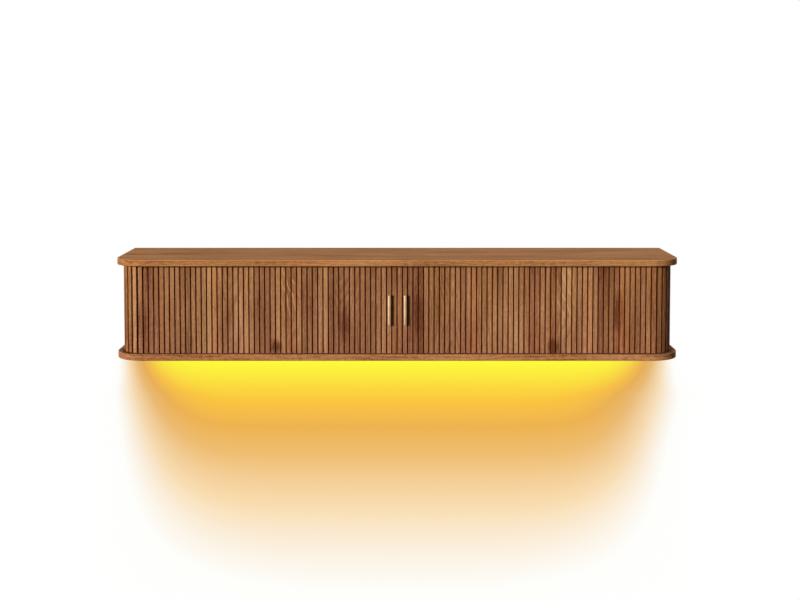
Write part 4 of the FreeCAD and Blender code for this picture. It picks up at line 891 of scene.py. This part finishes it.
def slats(name, side, first, last):
    """Slats number first to last from the middle of the front, each with its own grain."""
    sign = SIDES[side]
    verts, faces, grain, tones, hues, golds = [], [], [], [], [], []
    for index in range(first, last):
        length = (index + 0.5) * PITCH
        point, outward, forward = along_path(length)
        start = len(verts)
        number = DOOR_COUNT + index if sign > 0 else DOOR_COUNT - 1 - index
        for across, depth, height in SLAT_VERTS:
            spot = point + forward * across + outward * (MIDDLE - depth)
            verts.append((sign * spot.x, spot.y, height))
            grain.append((sign * (length + across), depth, height))
            tones.append(TONES[number])
            hues.append(HUE_MIDDLE + HUES[number])
            golds.append(GOLDS[number])
        faces += [[start + i for i in face] for face in SLAT_FACES]
    obj = mesh_object(name, verts, faces)
    store(obj, grain, tone=tones, hue=hues, gold=golds)
    return weighted(obj)


def store(obj, grain, **values):
    """Keeps rest coordinates, and other values by name, for the material."""
    flat = [value for point in grain for value in point]
    obj.data.attributes.new("grain", "FLOAT_VECTOR", "POINT").data.foreach_set("vector", flat)
    for name, numbers in values.items():
        obj.data.attributes.new(name, "FLOAT", "POINT").data.foreach_set("value", numbers)


CANVAS_ROWS = 6
DIMPLE = 0.3 * MM
DIMPLE_SHARES = (0.0, 0.06, 0.3, 0.7, 0.94)


def canvas(name, side, start, finish):
    """Strip of canvas behind the slats, dimpled where two slats meet."""
    sign = SIDES[side]
    lengths = []
    steps = max(1, round((finish - start) / PITCH))
    for index in range(steps):
        left = start + (finish - start) * index / steps
        right = start + (finish - start) * (index + 1) / steps
        lengths += [(left + (right - left) * s, 1 if s == 0 and index else 0) for s in DIMPLE_SHARES]
    lengths.append((finish, 0))
    rise = CANVAS_HIGH.z - CANVAS_LOW.z
    heights = [CANVAS_LOW.z + rise * i / CANVAS_ROWS for i in range(CANVAS_ROWS + 1)]
    verts, grain = [], []
    for layer in (0, 1):
        for length, joint in lengths:
            point, outward, _ = along_path(length)
            depth = SLAT_DEPTH + (CANVAS_DEPTH - DIMPLE * joint) * layer
            spot = point + outward * (MIDDLE - depth)
            for height in heights:
                verts.append((sign * spot.x, spot.y, height))
                grain.append((sign * length, depth, height))
    rows, columns = len(lengths), len(heights)
    size = rows * columns

    def quad(a, b, c, d, layer):
        return [layer * size + i for i in (a, b, c, d)]

    faces = []
    for row in range(rows - 1):
        for column in range(columns - 1):
            corner = row * columns + column
            cell = (corner, corner + 1, corner + columns + 1, corner + columns)
            faces += [quad(*cell, 0), quad(*cell[::-1], 1)]
    rim = [r * columns for r in range(rows)]
    rim += [(rows - 1) * columns + c for c in range(1, columns)]
    rim += [r * columns + columns - 1 for r in range(rows - 2, -1, -1)]
    rim += [c for c in range(columns - 2, 0, -1)]
    for a, b in zip(rim, rim[1:] + rim[:1]):
        faces.append([a, b, size + b, size + a])
    obj = mesh_object(name, verts, faces)
    store(obj, grain)
    return obj


RUN_START = LEAD_COUNT * PITCH
RUN_END = FRONT_COUNT * PITCH
TAIL = DOOR_COUNT * PITCH
HAIR = 0.2 * MM

for side, sign in SIDES.items():
    lead = slats(f"{side}_lead_staves", side, 0, LEAD_COUNT)
    dress(lead, SLAT_WOOD, f"{side}_door", "walnut_slats", f"{side}_lead_slats")
    run = slats(f"{side}_run_staves", side, LEAD_COUNT, FRONT_COUNT)
    dress(run, SLAT_WOOD, "carcass", "walnut_slats", f"{side}_run_slats")
    turn = slats(f"{side}_side_staves", side, FRONT_COUNT, DOOR_COUNT)
    dress(turn, SLAT_WOOD, "carcass", "walnut_slats", f"{side}_side_slats")
    lead_cloth = canvas(f"{side}_lead_backing", side, HAIR, RUN_START)
    dress(lead_cloth, CLOTH, f"{side}_door", "canvas", f"{side}_lead_canvas")
    run_cloth = canvas(f"{side}_run_backing", side, RUN_START + HAIR, RUN_END)
    dress(run_cloth, CLOTH, "carcass", "canvas", f"{side}_run_canvas")
    turn_cloth = canvas(f"{side}_side_backing", side, RUN_END + HAIR, TAIL)
    dress(turn_cloth, CLOTH, "carcass", "canvas", f"{side}_side_canvas")
    for piece in (run, run_cloth):
        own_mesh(piece)


# ---------------------------------------------------------------- boards


EDGE_STEPS = 4
CHANNEL_WING = 3.3 * MM
WING_REBATE = 1 * MM


def board_outline(inset):
    """Plan of a board, walked from the rear left corner round the front."""
    left = arc((-FRONT_X, FRONT_Y), CORNER_RADIUS - inset, 180, 270)
    right = arc((FRONT_X, FRONT_Y), CORNER_RADIUS - inset, 270, 360)
    return [(-HALF_WIDTH + inset, 0.0)] + left + right + [(HALF_WIDTH - inset, 0.0)]


def track_outline():
    """Plan of the groove that guides the tenons."""
    def stretch(depth):
        front = arc((FRONT_X, FRONT_Y), FACE_RADIUS - depth, 270, 360)
        rear = arc((REAR_X, REAR_Y), REAR_RADIUS - depth, 0, 90)
        right = front + rear + [(TRACK_END_X, REAR_Y + REAR_RADIUS - depth)]
        return [(-x, y) for x, y in reversed(right)] + right
    return stretch(TRACK_OUTER) + stretch(TRACK_INNER)[::-1]


def soft_slab(name, low, high):
    """Board between two heights, with its upper and lower arrises rounded."""
    lower = []
    for step in range(EDGE_STEPS, -1, -1):
        angle = math.pi / 2 * step / EDGE_STEPS
        lower.append((low + EDGE_ROUND * (1 - math.sin(angle)), EDGE_ROUND * (1 - math.cos(angle))))
    rings = lower + [(low + high - z, inset) for z, inset in reversed(lower)]
    outlines = [[(x, y, z) for x, y in board_outline(inset)] for z, inset in rings]
    verts = [point for outline in outlines for point in outline]
    count = len(outlines[0])
    faces = []
    for base in range(0, len(verts) - count, count):
        for i in range(count):
            j = (i + 1) % count
            faces.append([base + i, base + j, base + count + j, base + count + i])
    faces.append(list(range(count))[::-1])
    faces.append([len(verts) - count + i for i in range(count)])
    return mesh_object(name, verts, faces)


def board(name, low, high, inner):
    """Board with grooves for tenons and inner back in its inner face, and the light's recess below."""
    into = 1 if inner == low else -1

    def cut(depth):
        return sorted((inner - into * SPARE, inner + into * depth))

    slab = soft_slab(name, low, high)
    cutters = [prism("track_cutter", track_outline(), *cut(TRACK_DEPTH))]
    back_low, back_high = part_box("inner_back_panel")
    side_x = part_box("right_side_panel")[0].x
    slot_low, slot_high = cut(BACK_SLOT)
    cutters.append(cuboid(
        "back_cutter", (-side_x, back_low.y - PLAY, slot_low), (side_x, back_high.y + PLAY, slot_high),
    ))
    if name == "bottom_board":
        channel_low, channel_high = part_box("led_channel")
        cap_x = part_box("led_end_caps")[1].x + PLAY
        cutters.append(cuboid(
            "channel_cutter",
            (-cap_x, channel_low.y + CHANNEL_WING - PLAY, low - SPARE),
            (cap_x, channel_high.y - CHANNEL_WING + PLAY, channel_high.z + PLAY),
        ))
        cutters.append(cuboid(
            "wing_cutter",
            (-cap_x, channel_low.y - PLAY, low - SPARE),
            (cap_x, channel_high.y + PLAY, low + WING_REBATE),
        ))
    return weighted(carve(slab, cutters))


top = board("top_board", TOP_LOW.z, TOP_HIGH.z, TOP_LOW.z)
dress(top, BOARD_WOOD, "carcass", "walnut_boards", "top_panel")
base = board("bottom_board", BASE_LOW.z, BASE_HIGH.z, BASE_HIGH.z)
dress(base, BOARD_WOOD, "carcass", "walnut_boards", "bottom_panel")

# ---------------------------------------------------------------- handles

HANDLE_RADIUS = 5.5 * MM
POST_RADIUS = 3.5 * MM
POST_INSET = 10 * MM
CHAMFER = 0.8 * MM
CHAMFER_SOFT = 0.25 * MM
BAR_SEGMENTS = 64
POST_SEGMENTS = 40


def handle(side):
    """Round bar with chamfered ends on two posts."""
    low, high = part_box(f"{side}_handle")
    x = (low.x + high.x) / 2
    bar_y = low.y + HANDLE_RADIUS
    soft = CHAMFER_SOFT
    end = [
        (0, 0),
        (HANDLE_RADIUS - CHAMFER - soft, 0), (HANDLE_RADIUS - CHAMFER, soft / 3),
        (HANDLE_RADIUS - soft / 3, CHAMFER), (HANDLE_RADIUS, CHAMFER + soft),
    ]
    profile = [(r, low.z + h) for r, h in end] + [(r, high.z - h) for r, h in reversed(end)]
    bar = lathe(f"{side}_pull", profile, BAR_SEGMENTS, lambda p: Vector((x + p.x, bar_y + p.y, p.z)))
    posts = []
    length = high.y - bar_y
    foot = [
        (0, 0), (POST_RADIUS, 0),
        (POST_RADIUS, length - soft), (POST_RADIUS - soft, length), (0, length),
    ]
    for z in (low.z + POST_INSET, high.z - POST_INSET):
        posts.append(lathe(
            "post", foot, POST_SEGMENTS, lambda p, z=z: Vector((x + p.x, bar_y + p.z, z + p.y))
        ))
    return weighted(carve(bar, posts, "UNION"))


for side in SIDES:
    dress(handle(side), BRASS, f"{side}_door", "brass", f"{side}_handle")

# ---------------------------------------------------------------- stage


def stage_plane(name, corners, material):
    """Wall or floor, which isn't a piece of the part."""
    mesh = bpy.data.meshes.new(name)
    mesh.from_pydata(corners, [], [(0, 1, 2, 3)])
    mesh.materials.append(material)
    obj = bpy.data.objects.new(name, mesh)
    bpy.context.scene.collection.objects.link(obj)
    return obj


# The painted glow: heights, drops below its upper end and half widths in metres, and how square it is.
GLOW_TOP_Z = -305 * MM
GLOW_END = (-230 * MM, -200 * MM)
GLOW_REACH = 1.107
GLOW_FALL = 1.7
GLOW_SHIFT = 9 * MM
GLOW_SWELL = 0.12
GLOW_WIDTHS = (0.91, 0.918)
GLOW_TAPER = 0.097
WAIST_RISE = 0.08
WAIST = 0.14
SQUARE_START = 13.5
SQUARE_LOSS = 12.96
SQUARE_LEAST = 1.5
SQUARE_TOP = 7.0
RIGHT_RANGE = (0.143, 0.343)
RIGHT_SOFTER = 2.5
RIGHT_WIDER = 5 * MM
RIM_REACH = 0.5
RIM_SHARE = 0.51
RIM_COLOUR = linear(90, 90, 159)
GLOW_COLOURS = (
    (0.0, linear(253, 254, 60)), (0.22, linear(251, 196, 64)), (0.335, linear(238, 179, 80)),
    (0.46, linear(239, 190, 113)), (0.66, linear(249, 221, 177)), (0.9, linear(254, 254, 251)),
    (1.0, linear(255, 255, 255)),
)


def glow_wall():
    """White wall, seen from the room only, with the strip's warm glow painted under the console.

    The glow fades with the drop below its upper end, and across as exp(-side ** square).
    """
    s = Shader("wall_glow")
    s.tree.nodes.remove(s.bsdf)
    x, _, z = s.split(s.place())
    drop = s.math("SUBTRACT", GLOW_TOP_Z, z)
    below = s.remap(z, *GLOW_END, 1.0, 0.0)
    remaining = s.math("SUBTRACT", 1.0, s.math("DIVIDE", drop, GLOW_REACH), clamp=True)
    fall = s.product(s.math("POWER", remaining, GLOW_FALL), below)
    upper_right = s.product(s.math("GREATER_THAN", x, 0.0), s.remap(drop, *RIGHT_RANGE, 1.0, 0.0))

    width = s.math("SUBTRACT", s.remap(drop, 0.0, GLOW_SWELL, *GLOW_WIDTHS), s.product(drop, GLOW_TAPER))
    width = s.math("SUBTRACT", width, s.remap(drop, -WAIST_RISE, 0.0, WAIST, 0.0))
    width = s.total(width, s.product(upper_right, RIGHT_WIDER))
    square = s.math("SUBTRACT", SQUARE_START, s.product(drop, SQUARE_LOSS))
    square = s.math("MAXIMUM", square, SQUARE_LEAST)
    square = s.total(square, s.remap(drop, 0.0, GLOW_SWELL, SQUARE_TOP, 0.0))
    square = s.math("SUBTRACT", square, s.product(upper_right, RIGHT_SOFTER))
    side = s.math("DIVIDE", s.math("ABSOLUTE", s.total(x, GLOW_SHIFT)), width)
    spread = s.math("EXPONENT", s.product(s.math("POWER", side, square), -1.0))

    tint = s.ramp(s.math("SUBTRACT", 1.0, s.product(fall, spread)), GLOW_COLOURS)
    rim = s.product(s.math("POWER", spread, 2.0), s.math("SUBTRACT", 1.0, spread))
    rim = s.product(rim, s.product(s.remap(drop, 0.0, RIM_REACH, RIM_SHARE, 0.0), below))
    emit = s.node("Emission", {"Color": s.mix(rim, tint, RIM_COLOUR), "Strength": 1.0}).outputs[0]
    s.surface(s.product(s.seen(), s.math("SUBTRACT", 1.0, s.behind())), s.clear(), emit)
    return s.material


def floor_material():
    """Pale floor that keeps the object's soft shadow and is clear from below."""
    s = Shader("pale_floor")
    speck = s.noise(s.place(), (40, 40, 40))
    s.set(
        Base_Color=s.mottle(speck, linear(246, 246, 246), linear(252, 252, 252)), Roughness=0.9,
        Specular_IOR_Level=0.1, Emission_Color=(1, 1, 1, 1), Emission_Strength=0.33,
    )
    s.surface(s.behind(), s.bsdf.outputs[0], s.clear())
    return s.material


WALL_Y = 0.6 * MM
FLOOR_LEVEL = -1.25
FAR = 12.0
wall = stage_plane("wall", [
    (-FAR, WALL_Y, FLOOR_LEVEL), (FAR, WALL_Y, FLOOR_LEVEL), (FAR, WALL_Y, FAR), (-FAR, WALL_Y, FAR),
], glow_wall())
wall.visible_shadow = False
wall.visible_diffuse = False
floor = stage_plane("floor", [
    (-FAR, -FAR, FLOOR_LEVEL), (FAR, -FAR, FLOOR_LEVEL), (FAR, FAR, FLOOR_LEVEL), (-FAR, FAR, FLOOR_LEVEL),
], floor_material())
floor.visible_diffuse = False
floor.visible_glossy = False


def sun(name, azimuth, elevation, strength, angle, colour=(1, 1, 1), glints=True):
    """Distant soft lamp; azimuth 0 shines from the room, negative from the left.

    One without glints lifts a side that the photo doesn't show, and leaves no highlight on metal.
    """
    lamp = bpy.data.lights.new(name, "SUN")
    lamp.energy = strength
    lamp.angle = math.radians(angle)
    lamp.color = colour
    obj = bpy.data.objects.new(name, lamp)
    a, e = math.radians(azimuth), math.radians(elevation)
    toward = Vector((math.sin(a) * math.cos(e), -math.cos(a) * math.cos(e), math.sin(e)))
    obj.rotation_euler = toward.to_track_quat("Z", "Y").to_euler()
    obj.visible_glossy = glints
    bpy.context.scene.collection.objects.link(obj)


def panel(name, size, place, tilt, power, colour):
    """Rectangular lamp that isn't seen itself; tilt 0 shines down, 180 up."""
    lamp = bpy.data.lights.new(name, "AREA")
    lamp.shape = "RECTANGLE"
    lamp.size, lamp.size_y = size
    lamp.energy = power
    lamp.color = colour
    obj = bpy.data.objects.new(name, lamp)
    obj.location = place
    obj.rotation_euler = (math.radians(tilt), 0, 0)
    obj.visible_camera = False
    bpy.context.scene.collection.objects.link(obj)


sun("key", azimuth=-40, elevation=13, strength=3.36, angle=8, colour=(1.0, 0.985, 0.96))
sun("fill", azimuth=-10, elevation=15, strength=0.14, angle=60)
sun("top", azimuth=180, elevation=80, strength=1.27, angle=16, colour=(0.95, 0.98, 1.0))
sun("rear", azimuth=180, elevation=4, strength=0.8, angle=40, glints=False)
sun("side", azimuth=140, elevation=-2, strength=2.0, angle=14, glints=False)
panel(
    "strip_glow", size=(1.56, 0.02), place=(0, -0.03, -0.33), tilt=160, power=0.9, colour=(1.0, 0.72, 0.2),
)

SHADE_LEVEL = 0.085
world = bpy.data.worlds.new("studio")
bpy.context.scene.world = world
world.use_nodes = True
sky = Graph(world.node_tree)
background = world.node_tree.nodes["Background"]
background.inputs["Color"].default_value = (1, 1, 1, 1)
sky.feed(background.inputs["Strength"], sky.remap(sky.seen(), 0.0, 1.0, SHADE_LEVEL, 1.0))

# ---------------------------------------------------------------- camera

CAMERA_PLACE = (0, -4.2647, 0.5644)
CAMERA_PITCH = 3
lens = bpy.data.cameras.new("camera")
lens.sensor_width = 36
lens.lens = 56.177
lens.shift_x = 0.00355
lens.shift_y = -0.1602
camera = bpy.data.objects.new("camera", lens)
camera.location = CAMERA_PLACE
camera.rotation_euler = (math.radians(90 - CAMERA_PITCH), 0, 0)
bpy.context.scene.collection.objects.link(camera)
bpy.context.scene.camera = camera
bpy.context.scene.view_settings.view_transform = "Standard"
